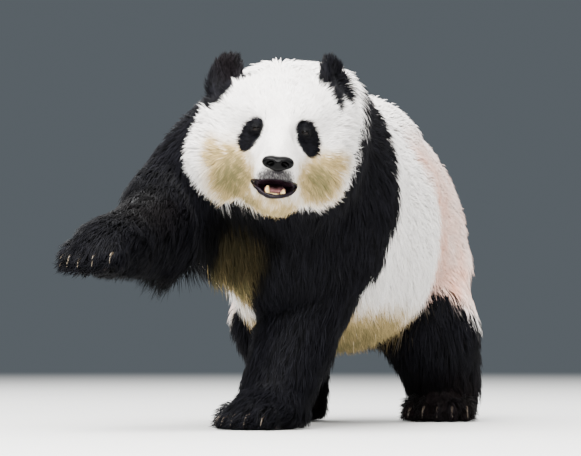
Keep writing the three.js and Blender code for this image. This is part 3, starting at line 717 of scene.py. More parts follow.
# Where the ruff's white ends round the face, across and up in the head's frame.
RUFF_LINE = (
    *((-190, -28), (-182, -62), (-163, -92), (-137, -109), (-105, -122), (-72, -130), (-36, -137), (5, -141)),
    *((46, -132), (84, -121), (107, -108), (126, -88), (141, -58), (149, -26), (158, 10), (165, 44)),
    *((163, 82), (153, 117), (134, 146), (60, 230), (-120, 230), (-200, 120), (-196, 20)),
)
RUFF_RING = curve_through(RUFF_LINE, 60, closed=True)
RUFF_EAR = {"back": 70, "across": (110, 150), "up": (0, 60)}  # it reaches further back behind the left ear
EAR_ROOTS = {  # the black fur that runs down from the ears, in the head's frame
    LEFT: ((111, 0, 86), (10, 60, 34), (0, -20, 0)),
    RIGHT: ((-128, -5, 84), (24, 60, 38), (0, 38, 0)),
}
BREAST = {"at": (-24, -178, 338), "half": (56, 95, 62)}  # the stained fur between the forelegs, which painted shade also darkens
THROAT_HEIGHT = 442  # the white ends here under the chin
# How far forward the left flank's white reaches, most of it at a height, and where across it sets in.
WAIST = {"least": 26, "more": 34, "height": 440, "spread": 70, "across": (60, 150)}
INNER = {"x": 50, "z": 380, "slope": 0.75}  # the black of the left foreleg reaches in to this plane
ARMPIT = {"across": (-56, -76), "back": (170, 90), "up": (460, 400)}  # where the right armpit's black sets in
ARMPIT_EDGE = {"x": -150, "z": 268, "slope": 1.1, "soft": 22}  # and the slanting line that it ends at below
# Round a hind leg: heights, and degrees from its front.
HIND_BLACK = {"low": 178, "high": 276, "at": 30, "spread": 36, "behind": 32, "rear": (40, 100)}
# Where the pink of the rump sets in, along a slanting line, and how it pales behind and ends below and above.
PINK_RUMP = {"back": (395, 490), "paler": (520, 760), "low": (200, 280), "high": (660, 540), "level": 400}
PINK_MOST, PINK_LEAST = 0.95, 0.06
# Soft spots: strength, middle, half sizes and softness, those of the head in its own frame.
FACE_STAINS = (
    (0.76, (-127, -60, -42), (19, 110, 31), 0.8),
    (1.05, (-88, -90, -86), (41, 110, 59), 0.8),
    (0.92, (-70, -90, -134), (60, 110, 24), 0.7),
    (0.70, (119, -60, -40), (24, 110, 24), 0.8),
    (0.96, (90, -80, -76), (40, 110, 46), 0.8),
    (0.70, (2, -90, -144), (120, 90, 26), 0.8),
    (0.50, (2, -150, -128), (34, 50, 14), 0.7),
)
BODY_STAINS = (
    (1.0, (-46, -170, 340), (120, 130, 90), 0.4),
    (1.0, (0, 350, 190), (200, 380, 58), 0.7),
)
# Brown in the black: an ear's edge, the raised foreleg and the hind paws.
BROWN_EAR = ((0.25, (-115, 20, 150), (40, 40, 40), 0.7),)
BROWN_LEGS = (
    (0.4, (-215, -250, 420), (60, 110, 45), 0.7),
    (0.5, LIMBS["hind_leg_left"]["paw"]["at"], (120, 170, 90), 0.6),
    (0.5, LIMBS["hind_leg_right"]["paw"]["at"], (120, 170, 90), 0.6),
)
GREYS = (  # the lip and the groove under the nose, and painted shade in a crease over each eye
    (1.0, (1, -188, -78), (34, 44, 18), 0.4),
    (0.95, (2.5, -190, -70), (3.6, 30, 14), 0.5),
    (0.16, (-28, -140, 46), (3, 40, 14), 0.6),
    (0.16, (27, -140, 46), (3, 40, 14), 0.6),
)
# Painted shade darkens the top of the raised foreleg below the rest of the black.
FORELEG_TOP_SHADE = ((0.75, (-228, -270, 435), (90, 170, 90), 0.7),)


def spots(p, where, table):
    """The strongest of a table's soft spots at each point. The spots' middles are in the frame of where."""
    wave = 0.12 * ripple(p, 30, 5)
    return np.maximum.reduce(
        [
            strength * (1 - step_to(1 - soft, 1 + soft, reach(where, at, half) + wave))
            for strength, at, half, soft in table
        ]
    )


def inner_side(p):
    """How far points stand on the left of the inner edge of the left foreleg's black."""
    return p[:, 0] - INNER["x"] - INNER["slope"] * (p[:, 2] - INNER["z"])


def yoke_black(p, s, wobble):
    """The black over the shoulders, from the ruff to the flanks, and down to the right armpit."""
    x, y, z = p.T
    q, trunk = s.q, s.near["trunk"]
    inner = inner_side(p)
    outside = np.full(len(p), -60, np.float32)
    front = (y < 60) & (trunk < 60)
    outside[front] = ring_distance(q[front][:, [0, 2]], RUFF_RING)
    more = RUFF_EAR["back"] * step_to(*RUFF_EAR["across"], q[:, 0]) * step_to(*RUFF_EAR["up"], q[:, 2])
    behind_ruff = np.maximum(np.maximum(beyond(RUFF_SEAM, p) - more, outside), THROAT_HEIGHT - z)
    waist = WAIST["least"] + WAIST["more"] * hump(z, WAIST["height"], WAIST["spread"])
    behind_yoke = beyond(YOKE_SEAM, p) + waist * step_to(*WAIST["across"], x)
    before_chest = np.maximum(-beyond(CHEST_SEAM, p), inner)
    black = step_to(-EDGE, EDGE, np.minimum(behind_ruff, np.minimum(-behind_yoke, before_chest)) + wobble)
    breast = step_to(1.3, 0.5, reach(p, **BREAST) + 0.08 * ripple(p, 30, 6))
    black *= 1 - 0.80 * breast * step_to(20, -20, inner)
    armpit = step_to(*ARMPIT["across"], x) * step_to(*ARMPIT["back"], y) * step_to(*ARMPIT["up"], z)
    over = z - ARMPIT_EDGE["z"] - ARMPIT_EDGE["slope"] * (x - ARMPIT_EDGE["x"]) + 1.6 * wobble
    armpit *= step_to(-ARMPIT_EDGE["soft"], ARMPIT_EDGE["soft"], over)
    return np.maximum(black, armpit)


def leg_black(p, s, wobble, name):
    """The black of a leg: all of a foreleg, and the lower part of a hind leg."""
    plan = LIMBS[name]
    trunk = s.near["trunk"]
    leg = np.minimum(s.legs[name], s.paws[name])
    if not plan["paw"]["hind"]:
        return step_to(-EDGE, EDGE, trunk - leg - 6 + wobble)
    knee = plan["joints"][1]
    outward = math.copysign(1, knee[0])
    around = np.degrees(np.arctan2(outward * (p[:, 0] - knee[0]), knee[1] - p[:, 1]))
    bump = hump(around, HIND_BLACK["at"], HIND_BLACK["spread"])
    arch = HIND_BLACK["low"] + (HIND_BLACK["high"] - HIND_BLACK["low"]) * bump
    arch = arch + HIND_BLACK["behind"] * step_to(*HIND_BLACK["rear"], around)
    low = step_to(-46, 36, arch - p[:, 2] + 1.6 * wobble)
    return low * step_to(-30, 0, trunk + 24 - leg)


def face_black(s, wobble, side):
    """The black of an eye patch and of an ear with its root."""
    q = s.q
    y = EYES[side][1] - EYE["sunk"] + 4
    turn = (0, -side * PATCH["tilt"][side], 0)
    patch = egg((side * PATCH["x"][side], y, PATCH["z"]), PATCH["half"], turn)
    disc = egg((0, 0, 0), EAR_HALF)(EAR_FRAMES[side].local(q))
    root = egg(*EAR_ROOTS[side])
    return np.maximum.reduce(
        [
            step_to(-2.5, 2.5, -patch(q) + 0.35 * wobble),
            step_to(6, 1, disc),
            step_to(12, 6, s.ears[side]),
            step_to(-4, 4, -root(q) + 0.5 * wobble),
        ]
    )


def rump_pink(p, wobble):
    """The pink tint of the rump, and a trace of it all over."""
    y, z = p[:, 1], p[:, 2]
    rearward = y + 0.45 * (z - PINK_RUMP["level"]) + 3 * wobble
    pink = PINK_MOST * step_to(*PINK_RUMP["back"], rearward)
    pink = pink * (1 - 0.3 * step_to(*PINK_RUMP["paler"], rearward))
    return np.maximum(pink * step_to(*PINK_RUMP["low"], z) * step_to(*PINK_RUMP["high"], z), PINK_LEAST)


def between_forelegs_shade(p):
    """The painted shade that darkens the deep fur between the forelegs, beyond its own colour."""
    inside = step_to(2.2, 1.4, reach(p, **BREAST))
    return 0.97 * inside * step_to(40, 10, inner_side(p)) * step_to(240, 310, p[:, 2] + 0.2 * p[:, 0])


def markings(p, s=None):
    """How black, stained, pink, brown and grey the panda's coat is at some points, and how much painted shade
    darkens it.
    """
    s = s or survey(p)
    q = s.q
    wobble = 5 * ripple(p, 60, 3) + 3 * ripple(p, 23, 4)
    black = yoke_black(p, s, wobble)
    head = np.minimum(s.near["head"], s.near["ear"]) - s.near["trunk"]
    black *= 1 - step_to(-EDGE, EDGE, -head - 6 + wobble * 0.4)
    legs = [leg_black(p, s, wobble, name) for name in LIMBS]
    faces = [face_black(s, wobble, side) for side in EARS]
    return {
        "black": np.maximum.reduce([black, *legs, *faces]),
        "stain": np.maximum(spots(p, q, FACE_STAINS), spots(p, p, BODY_STAINS)),
        "pink": rump_pink(p, wobble),
        "brown": np.maximum(spots(p, q, BROWN_EAR), spots(p, p, BROWN_LEGS)),
        "grey": spots(p, q, GREYS),
        "dim": np.maximum(between_forelegs_shade(p), spots(p, p, FORELEG_TOP_SHADE)),
    }


# ---------------------------------------------------------------- materials


class Wires:
    """Short names for the nodes that a material, or the world, is made of."""

    SOCKETS = {
        "colour": "Base Color",
        "roughness": "Roughness",
        "normal": "Normal",
        "specular": "Specular IOR Level",
        "sheen": "Sheen Weight",
        "sheen_roughness": "Sheen Roughness",
    }

    def __init__(self, owner):
        owner.use_nodes = True
        self.owner = owner
        self.tree = owner.node_tree

    def surface(self, **values):
        """Gives values to the material's own shader, and the material back."""
        shader = self.tree.nodes["Principled BSDF"]
        for name, value in values.items():
            self.put(shader.inputs[self.SOCKETS[name]], value)
        return self.owner

    def put(self, socket, value):
        if isinstance(value, bpy.types.NodeSocket):
            self.tree.links.new(value, socket)
        elif isinstance(value, tuple) and len(value) == 3 and socket.type == "RGBA":
            socket.default_value = (*value, 1)
        else:
            socket.default_value = value

    def node(self, kind, inputs=(), output=0, **settings):
        """An output of a new node, whose inputs are named or numbered."""
        node = self.tree.nodes.new("ShaderNode" + kind)
        for key, value in settings.items():
            setattr(node, key, value)
        for key, value in dict(inputs).items():
            self.put(node.inputs[key], value)
        return node.outputs[output]

    def number(self, name):
        return self.node("Attribute", output="Fac", attribute_name=name)

    def mix(self, share, a, b, kind="MIX"):
        return self.node("Mix", {0: share, 6: a, 7: b}, 2, data_type="RGBA", blend_type=kind)

    def maths(self, a, b, kind="MULTIPLY"):
        return self.node("Math", {0: a, 1: b}, operation=kind)

    def level(self, value):
        """A grey as bright as a number."""
        return self.node("CombineColor", {0: value, 1: value, 2: value})

    def span(self, value, low, high, to_low=0.0, to_high=1.0, kind="LINEAR"):
        places = enumerate((value, low, high, to_low, to_high))
        return self.node("MapRange", places, interpolation_type=kind)

    def place(self, kind="Object"):
        return self.node("TexCoord", output=kind)

    def noise(self, scale, detail=3, stretch=(1, 1, 1), roughness=0.55):
        at = self.node("Mapping", {"Vector": self.place(), "Scale": stretch})
        grain = {"Vector": at, "Scale": scale, "Detail": detail, "Roughness": roughness}
        return self.node("TexNoise", grain, "Fac")

    def cells(self, scale, **settings):
        return self.node("TexVoronoi", {"Scale": scale}, "Distance", **settings)

    def bump(self, height, strength, distance):
        return self.node("Bump", {"Height": height, "Strength": strength, "Distance": distance})


def new_material(name):
    return Wires(bpy.data.materials.new(name))


# The root colours are painted shade down among the tufts; the tips have the fur's own colour.
WHITE_TIP = (0.965, 0.955, 0.935)
WHITE_ROOT_SHADE = (0.86, 0.83, 0.785)
OCHRE = (0.54, 0.385, 0.17)
OLIVE = (0.165, 0.142, 0.062)
PINK = (0.74, 0.41, 0.30)
BLACK_TIP = (0.0040, 0.0040, 0.0054)
BLACK_ROOT_SHADE = (0.0008, 0.0008, 0.0011)
BROWN = (0.008, 0.0042, 0.0028)
GREY = (0.022, 0.020, 0.022)


def coat_colour(w, tip):
    """The colour of hair or of the skin under it: the markings are numbers on the points, and tip runs from the
    painted shade of the roots to the tips' own colour.
    """
    shade = w.number("shade")
    cloud = w.noise(18, 4)
    fine = w.noise(220, 2)
    white = w.mix(tip, WHITE_ROOT_SHADE, WHITE_TIP)
    white = w.mix(w.maths(w.number("pink"), w.span(cloud, 0.25, 0.75, 0.55, 1.15)), white, PINK)
    stain = w.maths(w.number("stain"), w.span(cloud, 0.3, 0.7, 0.8, 1.1))
    white = w.mix(w.span(stain, 0, 0.5), white, OCHRE)
    white = w.mix(w.span(stain, 0.4, 1), white, OLIVE)
    # Grey: the dark hairs of the upper lip, and painted shade in the creases over the eyes.
    white = w.mix(w.number("grey"), white, GREY)
    black = w.mix(tip, BLACK_ROOT_SHADE, BLACK_TIP)
    black = w.mix(w.maths(w.number("brown"), w.span(cloud, 0.3, 0.7, 0.5, 1.0)), black, BROWN)
    black = w.mix(1.0, black, w.level(w.span(shade, 0, 1, 0.35, 2.1)), "MULTIPLY")
    bright = w.maths(w.span(shade, 0, 1, 0.84, 1.06), w.span(fine, 0.3, 0.7, 0.94, 1.05))
    # Painted shade between the forelegs and on the top of the raised foreleg darkens the coat.
    bright = w.maths(bright, w.span(w.number("dim"), 0, 1, 1, 0.05))
    return w.mix(1.0, w.mix(w.number("black"), white, black), w.level(bright), "MULTIPLY")


def make_coat_material():
    w = new_material("coat")
    colour = coat_colour(w, w.number("tip"))
    rough = w.span(w.number("black"), 0, 1, 0.80, 0.50)
    return w.surface(colour=colour, roughness=rough, specular=0.03, sheen=0.01, sheen_roughness=0.5)


def make_skin_material():
    """The skin: undercoat where there is coat, mostly in the coat's painted root shade, dark leather on the
    pads and wet red in the mouth.
    """
    w = new_material("skin")
    bare, wet = w.number("bare"), w.number("wet")
    leather = w.mix(w.noise(60, 4), (0.035, 0.026, 0.027), (0.10, 0.07, 0.065))
    red = w.mix(w.noise(90, 3), (0.10, 0.014, 0.014), (0.30, 0.06, 0.055))
    # Undercoat: the coat's colour, mostly its painted root shade.
    colour = w.mix(bare, coat_colour(w, 0.35), leather)
    colour = w.mix(w.number("lip"), colour, (0.004, 0.002, 0.0035))
    colour = w.mix(wet, colour, w.mix(w.number("gum"), red, (0.020, 0.009, 0.014)))
    rough = w.mix(wet, w.mix(bare, (0.85,) * 3, (0.55,) * 3), (0.28,) * 3)
    height = w.maths(w.noise(420, 2, (1, 0.25, 1), 0.6), w.maths(w.cells(260.0), bare), "ADD")
    return w.surface(colour=colour, roughness=rough, normal=w.bump(height, 0.6, 0.003), specular=0.12)


def make_plain(name, low, high, roughness, scale, grain=0.2, distance=0.0006, specular=0.5):
    """A material of two close colours clouded together, with a fine grain."""
    w = new_material(name)
    colour = w.mix(w.span(w.noise(scale, 4), 0.35, 0.65), low, high)
    rough = w.span(w.noise(scale * 2, 2), 0.3, 0.7, roughness * 0.85, roughness * 1.2)
    bumps = w.bump(w.noise(scale * 8, 3), grain, distance)
    return w.surface(colour=colour, roughness=rough, normal=bumps, specular=specular)


def make_nose_material():
    """Pebbled black leather, with painted shade darkening it inside the nostrils."""
    w = new_material("nose")
    pebbles = w.span(w.cells(620.0, feature="DISTANCE_TO_EDGE"), 0.0, 0.18)
    colour = w.mix(pebbles, (0.0004, 0.0004, 0.0004), (0.0016, 0.0016, 0.0018))
    colour = w.mix(w.number("nostril"), colour, (0.0002, 0.0002, 0.0002))
    rough = w.span(w.noise(90), 0.3, 0.7, 0.14, 0.22)
    return w.surface(colour=colour, roughness=rough, normal=w.bump(pebbles, 0.10, 0.0002), specular=0.06)


def make_eye_material():
    """A black pupil, a dark brown iris and the dark white round it, by the distance from the eye's axis."""
    w = new_material("eye")
    off = w.number("off_axis")
    iris = w.mix(w.noise(700, 4), (0.0015, 0.0008, 0.0006), (0.005, 0.0026, 0.0016))
    colour = w.mix(w.span(off, 0.30, 0.36), (0.0004, 0.0004, 0.0004), iris)
    colour = w.mix(w.span(off, 0.70, 0.80), colour, (0.001, 0.0008, 0.0008))
    return w.surface(colour=colour, roughness=0.07, specular=0.14)


def make_claw_material():
    """Horn, dark at the root and paler along the claw, with streaks."""
    w = new_material("claw")
    streaks = w.noise(260, 4, (1, 0.2, 1), 0.6)
    colour = w.mix(w.span(w.number("along"), 0.0, 0.9), (0.045, 0.034, 0.026), (0.30, 0.24, 0.165))
    colour = w.mix(w.span(streaks, 0.35, 0.7, 0, 0.5), colour, (0.12, 0.085, 0.055))
    rough = w.span(streaks, 0.3, 0.7, 0.30, 0.48)
    return w.surface(colour=colour, roughness=rough, normal=w.bump(streaks, 0.25, 0.0005))


COAT = make_coat_material()
SKIN = make_skin_material()
NOSE = make_nose_material()
EYEBALL = make_eye_material()
CLAW = make_claw_material()
TOOTH = make_plain("tooth", (0.56, 0.33, 0.10), (0.78, 0.61, 0.32), 0.3, 120, 0.1, specular=0.4)
TONGUE = make_plain("tongue", (0.25, 0.09, 0.09), (0.42, 0.20, 0.20), 0.38, 160, 0.5, 0.001, 0.4)
LIP = make_plain("lip", (0.0015, 0.0006, 0.0014), (0.007, 0.003, 0.006), 0.24, 140, 0.5, 0.001, 0.10)
LID = make_plain("lid", (0.0005, 0.0005, 0.0005), (0.003, 0.003, 0.0034), 0.5, 200, 0.3, 0.0004, 0.05)

# ---------------------------------------------------------------- skin

PAIRED_NODES = ("ear", "eye_patch", "forepaw", "hind_foot")
FLESH_NODES = (
    ["head", "neck", "shoulders", "torso", "tail", "throat"]
    + [f"{part}_{side}" for part in PAIRED_NODES for side in SIDE_NAMES.values()]
    + [f"{leg}_{part}" for leg in LIMBS for part in ("upper", "lower")]
)
COARSE, FINE = ((7, 3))
SKIN_GRID = [
    lines(-330, COARSE, -90, FINE, 240, COARSE, 290),
    lines(-530, FINE, -330, COARSE, 980),
    lines(-4, COARSE, 430, FINE, 690, COARSE, 740),
]


def vertex_normals(points, quads):
    a, b, c, d = [points[quads[:, n]] for n in range(4)]
    face = np.cross(c - a, d - b)
    out = np.zeros_like(points)
    for n in range(4):
        np.add.at(out, quads[:, n], face)
    return unit(out)


def pads(hind):
    """The bare pads under a paw, in its frame: their middles and half sizes."""
    large = [((0, 30, 6), (42, 62, 14))] if hind else [((0, 8, 6), (46, 24, 14)), ((34, 52, 8), (17, 15, 14))]
    return large + [((i * TOE_STEP, toe_front(hind, i) + 6, 6), (11, 15, 14)) for i in TOES]


def pad_share(p, s):
    """1 on the bare pads under the paws."""
    bare = np.zeros(len(p), np.float32)
    for name, plan in LIMBS.items():
        local = PAWS[name].local(p)
        under = step_to(15, 11, local[:, 2]) * step_to(6, -6, s.paws[name])
        depth = np.min([egg(*pad)(local) for pad in pads(plan["paw"]["hind"])], axis=0)
        bare = np.maximum(bare, under * step_to(3, -3, depth))
    return bare


def make_skin():
    """The skin as one piece, and its points, quads and directions for the coat."""
    points, quads = skin_of(flesh, SKIN_GRID, 26)
    points = points.astype(np.float32)
    s = survey(points)
    mouth = mouth_hollow(s.q)
    add_piece(
        "skin",
        (points, [quads]),
        SKIN,
        "white_coat",
        *FLESH_NODES,
        **markings(points, s),
        bare=pad_share(points, s),
        wet=step_to(2.5, 0.5, mouth),
        gum=step_to(-6, -1, mouth),
        lip=step_to(6.5, 3, mouth - 8 * mouth_corner(s.q)),
        shade=0.4 + 0.2 * ripple(points, 9, 8),
    )
    return points, quads, vertex_normals(points, quads)


# ---------------------------------------------------------------- coat

# By region: the tufts' length and width, how far their tips stand off, and how many a square centimetre has.
HAIR = {
    "trunk": {"length": 38, "width": 2.7, "rise": 11, "density": 4.6},
    "leg": {"length": 36, "width": 2.8, "rise": 10, "density": 5.0},
    "paw": {"length": 30, "width": 2.1, "rise": 10, "density": 9.0},
    "tail": {"length": 46, "width": 3.2, "rise": 12, "density": 5.0},
    "ear": {"length": 15, "width": 1.7, "rise": 7, "density": 18.0},
}
FACE_HAIR = {"length": (6, 24), "width": (0.9, 1.6), "rise": (1.5, 8.5), "density": (38, 16)}
ELBOW = {"at": (-165, -45, 350), "spread": 85}  # of the raised foreleg, where long hair hangs
ROOT_BLOCK = 40  # roots are drawn block by block, so that they spread evenly
LIP_GAP = 0.8  # tufts keep this far out of the mouth


def hair_sizes(s):
    """The coat's sizes at some points."""
    near_nose = face_share(s.q)
    out = {}
    for key in ("length", "width", "rise", "density"):
        at_nose, behind = FACE_HAIR[key]
        face = at_nose + (behind - at_nose) * near_nose ** (1.8 if key != "density" else 0.8)
        out[key] = s.share["head"] * face + sum(s.share[name] * HAIR[name][key] for name in HAIR)
    return out


def lie_of(p, s):
    """The way the hair points before it is combed."""
    q = s.q
    flank = np.clip(np.abs(p[:, 0]) / 220, 0, 1)[:, None]
    lie = np.float32((0, 1, 0)) + flank * np.float32((0, 0, -0.55))
    breast = step_to(60, -120, p[:, 1] + 0.3 * (p[:, 2] - 400))[:, None]
    lie = lie * (1 - breast) + breast * (np.float32((0, 0.25, -1.0)))
    lie = lie * s.share["trunk"][:, None]

    outward = unit(q - np.float32((2, -165, -25)))
    outward[:, 2] -= 0.25 * step_to(0, -60, q[:, 2])
    lie = lie + HEAD.way(outward) * s.share["head"][:, None]

    for side, ear in EAR_FRAMES.items():
        local = ear.local(q)
        fan = np.stack([local[:, 0] * 0.9, np.full(len(p), 2.0), local[:, 2] + 70], -1)
        mine = (s.share["ear"] * (s.ears[side] < s.ears[-side]))[:, None]
        lie = lie + HEAD.way(ear.way(unit(fan))) * mine

    legs = np.stack([s.legs[name] for name in LIMBS])
    paws = np.stack([s.paws[name] for name in LIMBS])
    for n, (name, plan) in enumerate(LIMBS.items()):
        a, b, c = [np.float32(j) for j in plan["joints"]]
        far = step_to(-0.3, 0.3, (p - b) @ unit(c - a) / 100)[:, None]
        along = unit(b - a) * (1 - far) + unit(c - b) * far
        along = along + np.float32((0, 0, -0.35))
        mine = (s.share["leg"] * (legs.argmin(0) == n))[:, None]
        lie = lie + unit(along) * mine
        local = PAWS[name].local(p)
        fan = np.stack([local[:, 0] * 0.006, np.full(len(p), -1.0), -0.25 - 0.004 * local[:, 2]], -1)
        mine = (s.share["paw"] * (paws.argmin(0) == n))[:, None]
        lie = lie + PAWS[name].way(unit(fan)) * mine
    tail = unit(np.float32(TAIL["tip"]) - np.float32(TAIL["root"]))
    return unit(lie + tail * s.share["tail"][:, None])


def bareness(p, s):
    """1 where no hair grows: on the pads, lips, eyes and nose, and on the soles."""
    return np.maximum.reduce(
        [
            pad_share(p, s),
            step_to(3.5, 1.5, mouth_hollow(s.q) - 8 * mouth_corner(s.q)),
            step_to(3.5, 1.5, np.minimum(eye_slit(LEFT)(s.q), eye_slit(RIGHT)(s.q))),
            step_to(2.0, 0.5, nose_field(s.q)),
            step_to(SOLE + 2.5, SOLE + 0.5, p[:, 2]),
        ]
    )


def root_samples(points, quads, normals):
    """Roots spread over the skin, denser where the coat is finer, and the ways out of the skin there."""
    tris = np.concatenate([quads[:, [0, 1, 2]], quads[:, [0, 2, 3]]])
    a, b, c = [points[tris[:, n]] for n in range(3)]
    square_cm = np.linalg.norm(np.cross(b - a, c - a), axis=1) / 200
    middle = (a + b + c) / 3
    block = middle // ROOT_BLOCK
    order = np.lexsort((block[:, 2], block[:, 1], block[:, 0]))
    s = survey(middle)
    weight = square_cm * hair_sizes(s)["density"] * (1 - bareness(middle, s))
    total = np.cumsum(weight[order])
    count = int(total[-1])
    even = (np.arange(count) + random.random(count)) * total[-1] / count
    corners = tris[order[np.searchsorted(total, even)]]
    u, v = random.random((2, count, 1))
    fold = u + v > 1
    u, v = np.where(fold, 1 - u, u), np.where(fold, 1 - v, v)

    def mixed(values):
        first, second, third = [values[corners[:, n]] for n in range(3)]
        return first * (1 - u - v) + second * u + third * v

    return mixed(points).astype(np.float32), unit(mixed(normals))


ROOTED = 1.5  # how deep a tuft starts under the skin
TUFT_RINGS = ((0.0, 0.5), (0.5, 0.42))  # along the tuft, and the half width there as a share of its width
# A tuft's points are two rings of three and a tip. The corners of its faces, how many each face has, and how
# near to the tip's colour each point is, away from the painted shade at the root:
TUFT_LOOPS = (0, 3, 4, 1, 1, 4, 5, 2, 2, 5, 3, 0, 3, 6, 4, 4, 6, 5, 5, 6, 3, 0, 1, 2)
TUFT_SIZES = (4, 4, 4, 3, 3, 3, 3)
TUFT_TIPS = (0.0, 0.0, 0.1, 0.55, 0.55, 0.65, 1.0)
TUFT_POINTS = len(TUFT_TIPS)
TUFT_TRIS = 10
PATCH_SIZE = 0.003  # of a tuft on the OFBake map
PATCH_SHAPE = np.array([(0, 0), (1, 0), (0.5, 0.1), (0, 0.6), (1, 0.6), (0.5, 0.7), (0.5, 1)])
MOST_TUFTS = 19500  # in one piece


def tuft_points(root, normal, lie, length, width, rise, droop):
    """Seven points for each tuft: two rings of three and a tip."""
    side = unit(np.cross(lie, normal))
    down = np.float32((0, 0, -1))

    def centre(t):
        lift = rise * (2 * t - t * t) - ROOTED * (1 - t)
        return root + lie * (length * t)[:, None] + normal * lift[:, None] + down * (droop * t * t)[:, None]

    rings = []
    n = len(root)
    for t, half in TUFT_RINGS:
        c = centre(np.full(n, t, np.float32))
        w = (width * half)[:, None]
        rings += [c - side * w, c + side * w, c + normal * w * 1.2]
    rings.append(centre(np.ones(n, np.float32)))
    points = np.stack(rings, 1)
    radial = np.stack([-side, side, normal, -side, side, normal, normal], 1)
    normals = unit(normal[:, None] * 0.88 + radial * 0.36)
    return points, normals


def unwrapped(p, region):
    """A flat place for each root: round and along the body it grows on."""
    if region.startswith(("foreleg", "hind_leg")):
        a, _, c = [np.float32(j) for j in LIMBS[region]["joints"]]
        axis = unit(c - a)
        v = (p - a) @ axis
        off = p - a - v[:, None] * axis
        x = unit(np.cross(axis, np.float32((0, 1, 0.3))))
        return np.arctan2(off @ np.cross(axis, x), off @ x), v
    if region in ("head", "ears"):
        q = HEAD.local(p)
        way = unit(q - np.float32((0, 10, -10)))
        bend = np.arccos(np.clip(-way[:, 1], -1, 1))
        turn = np.arctan2(way[:, 2], way[:, 0])
        return bend * np.cos(turn), bend * np.sin(turn)
    middle = p - np.float32((0, 400, 430))
    return np.arctan2(middle[:, 0], middle[:, 2]), middle[:, 1]


def bake_places(root, region):
    """A small patch on the OFBake map for each tuft, where its root lies on the flattened body."""
    flat = np.stack(unwrapped(root, region), -1)
    flat = (flat - flat.min(0)) / np.maximum(flat.max(0) - flat.min(0), 1e-6)
    flat = 0.01 + 0.98 * flat * (1 - PATCH_SIZE)
    return (flat[:, None] + PATCH_SIZE * (PATCH_SHAPE - (0.5, 0))[None]).reshape(-1, 2)


def make_coat_piece(name, region, tufts, marks):
    n = len(tufts["root"])
    points, normals = tuft_points(**tufts)
    loops = (np.array(TUFT_LOOPS)[None] + TUFT_POINTS * np.arange(n)[:, None]).ravel()
    obj = new_piece(name, points.reshape(-1, 3), loops, np.tile(TUFT_SIZES, n), COAT)
    layer = obj.data.uv_layers.new(name="OFBake")
    uv = bake_places(tufts["root"], region)[loops]
    layer.data.foreach_set("uv", np.clip(uv, 0, 1).astype(np.float32).ravel())
    obj.data.normals_split_custom_set_from_vertices(normals.reshape(-1, 3))
    paint(obj, tip=np.tile(TUFT_TIPS, n))
    paint(obj, **{key: np.repeat(value, TUFT_POINTS) for key, value in marks.items()})
    finish_piece(obj, "black_coat" if marks["black"].mean() > 0.5 else "white_coat")


def combed(roots, normals, s, hanging):
    """The way each tuft points: along the skin, down where the hair hangs, and turned in clumps."""
    lie = unit(lie_of(roots, s) + np.float32((0, 0, -1.6)) * hanging[:, None])
    side = unit(np.cross(lie, normals))
    clump = 0.30 * ripple(roots, 42, 11) + 0.22 * ripple(roots, 17, 12)
    yaw = clump + random.normal(0, 1, len(roots)) * (0.14 - 0.05 * s.share["head"])
    lie = unit(lie - normals * np.sum(lie * normals, 1, keepdims=True))
    return unit(lie * np.cos(yaw)[:, None] + side * np.sin(yaw)[:, None]).astype(np.float32)


def grown(roots, normals, s, under, elbow):
    """The tufts' length, rise, droop and width: longer below, at the elbow and round the cheeks."""
    n = len(roots)
    sizes = hair_sizes(s)
    trunk, leg, head, ear = [s.share[name] for name in ("trunk", "leg", "head", "ear")]
    x, z = s.q[:, 0], s.q[:, 2]
    flat_top = step_to(0.2, 0.9, normals[:, 2]) * trunk
    length = sizes["length"] * (1 + 0.4 * under * trunk - 0.2 * flat_top + leg * under * (0.25 + 1.5 * elbow))
    rim = head * step_to(80, 135, np.hypot(x, z)) * step_to(110, 40, z)
    jaw = rim * step_to(-50, -110, z)
    uneven = random.uniform(0.65, 1.25, n)
    length *= uneven * (1 + rim * random.uniform(-0.3, 0.4, n) + jaw * random.uniform(0, 0.9, n))
    lift = 1 + 0.35 * ripple(roots, 25, 13) + random.normal(0, 0.18, n)
    rise = sizes["rise"] * np.clip(lift, 0.35, 1.8) * (1 + rim * random.uniform(0, 1.1, n))
    droop = length * (0.10 + 0.30 * under * trunk + 0.18 * leg)
    droop *= 1 - 0.8 * np.maximum(head, ear) * (1 - under)
    return length, rise, droop, sizes["width"] * random.uniform(0.7, 1.2, n)


def over_floor(roots, normals, lie, length, rise, droop):
    """How much of each tuft fits over the floor."""
    low = roots[:, 2] + lie[:, 2] * length - droop + np.minimum(normals[:, 2], 0) * rise
    spare = np.maximum(roots[:, 2] - SOLE - 1, 0.2)
    return np.clip(spare / np.maximum(roots[:, 2] - low, 1e-3), 0.05, 1)


def out_of_mouth(roots, lie, length, s):
    """How much of each tuft stays outside the open mouth."""
    at_root = mouth_hollow(s.q)
    kept = np.ones(len(roots))
    for share in (1, 0.7, 0.4):
        there = mouth_hollow(HEAD.local(roots + lie * (share * length)[:, None]))
        short = share * np.clip((at_root - LIP_GAP) / np.maximum(at_root - there, 1e-3), 0.1, 1)
        kept = np.where(there < LIP_GAP, np.minimum(kept, short), kept)
    return kept


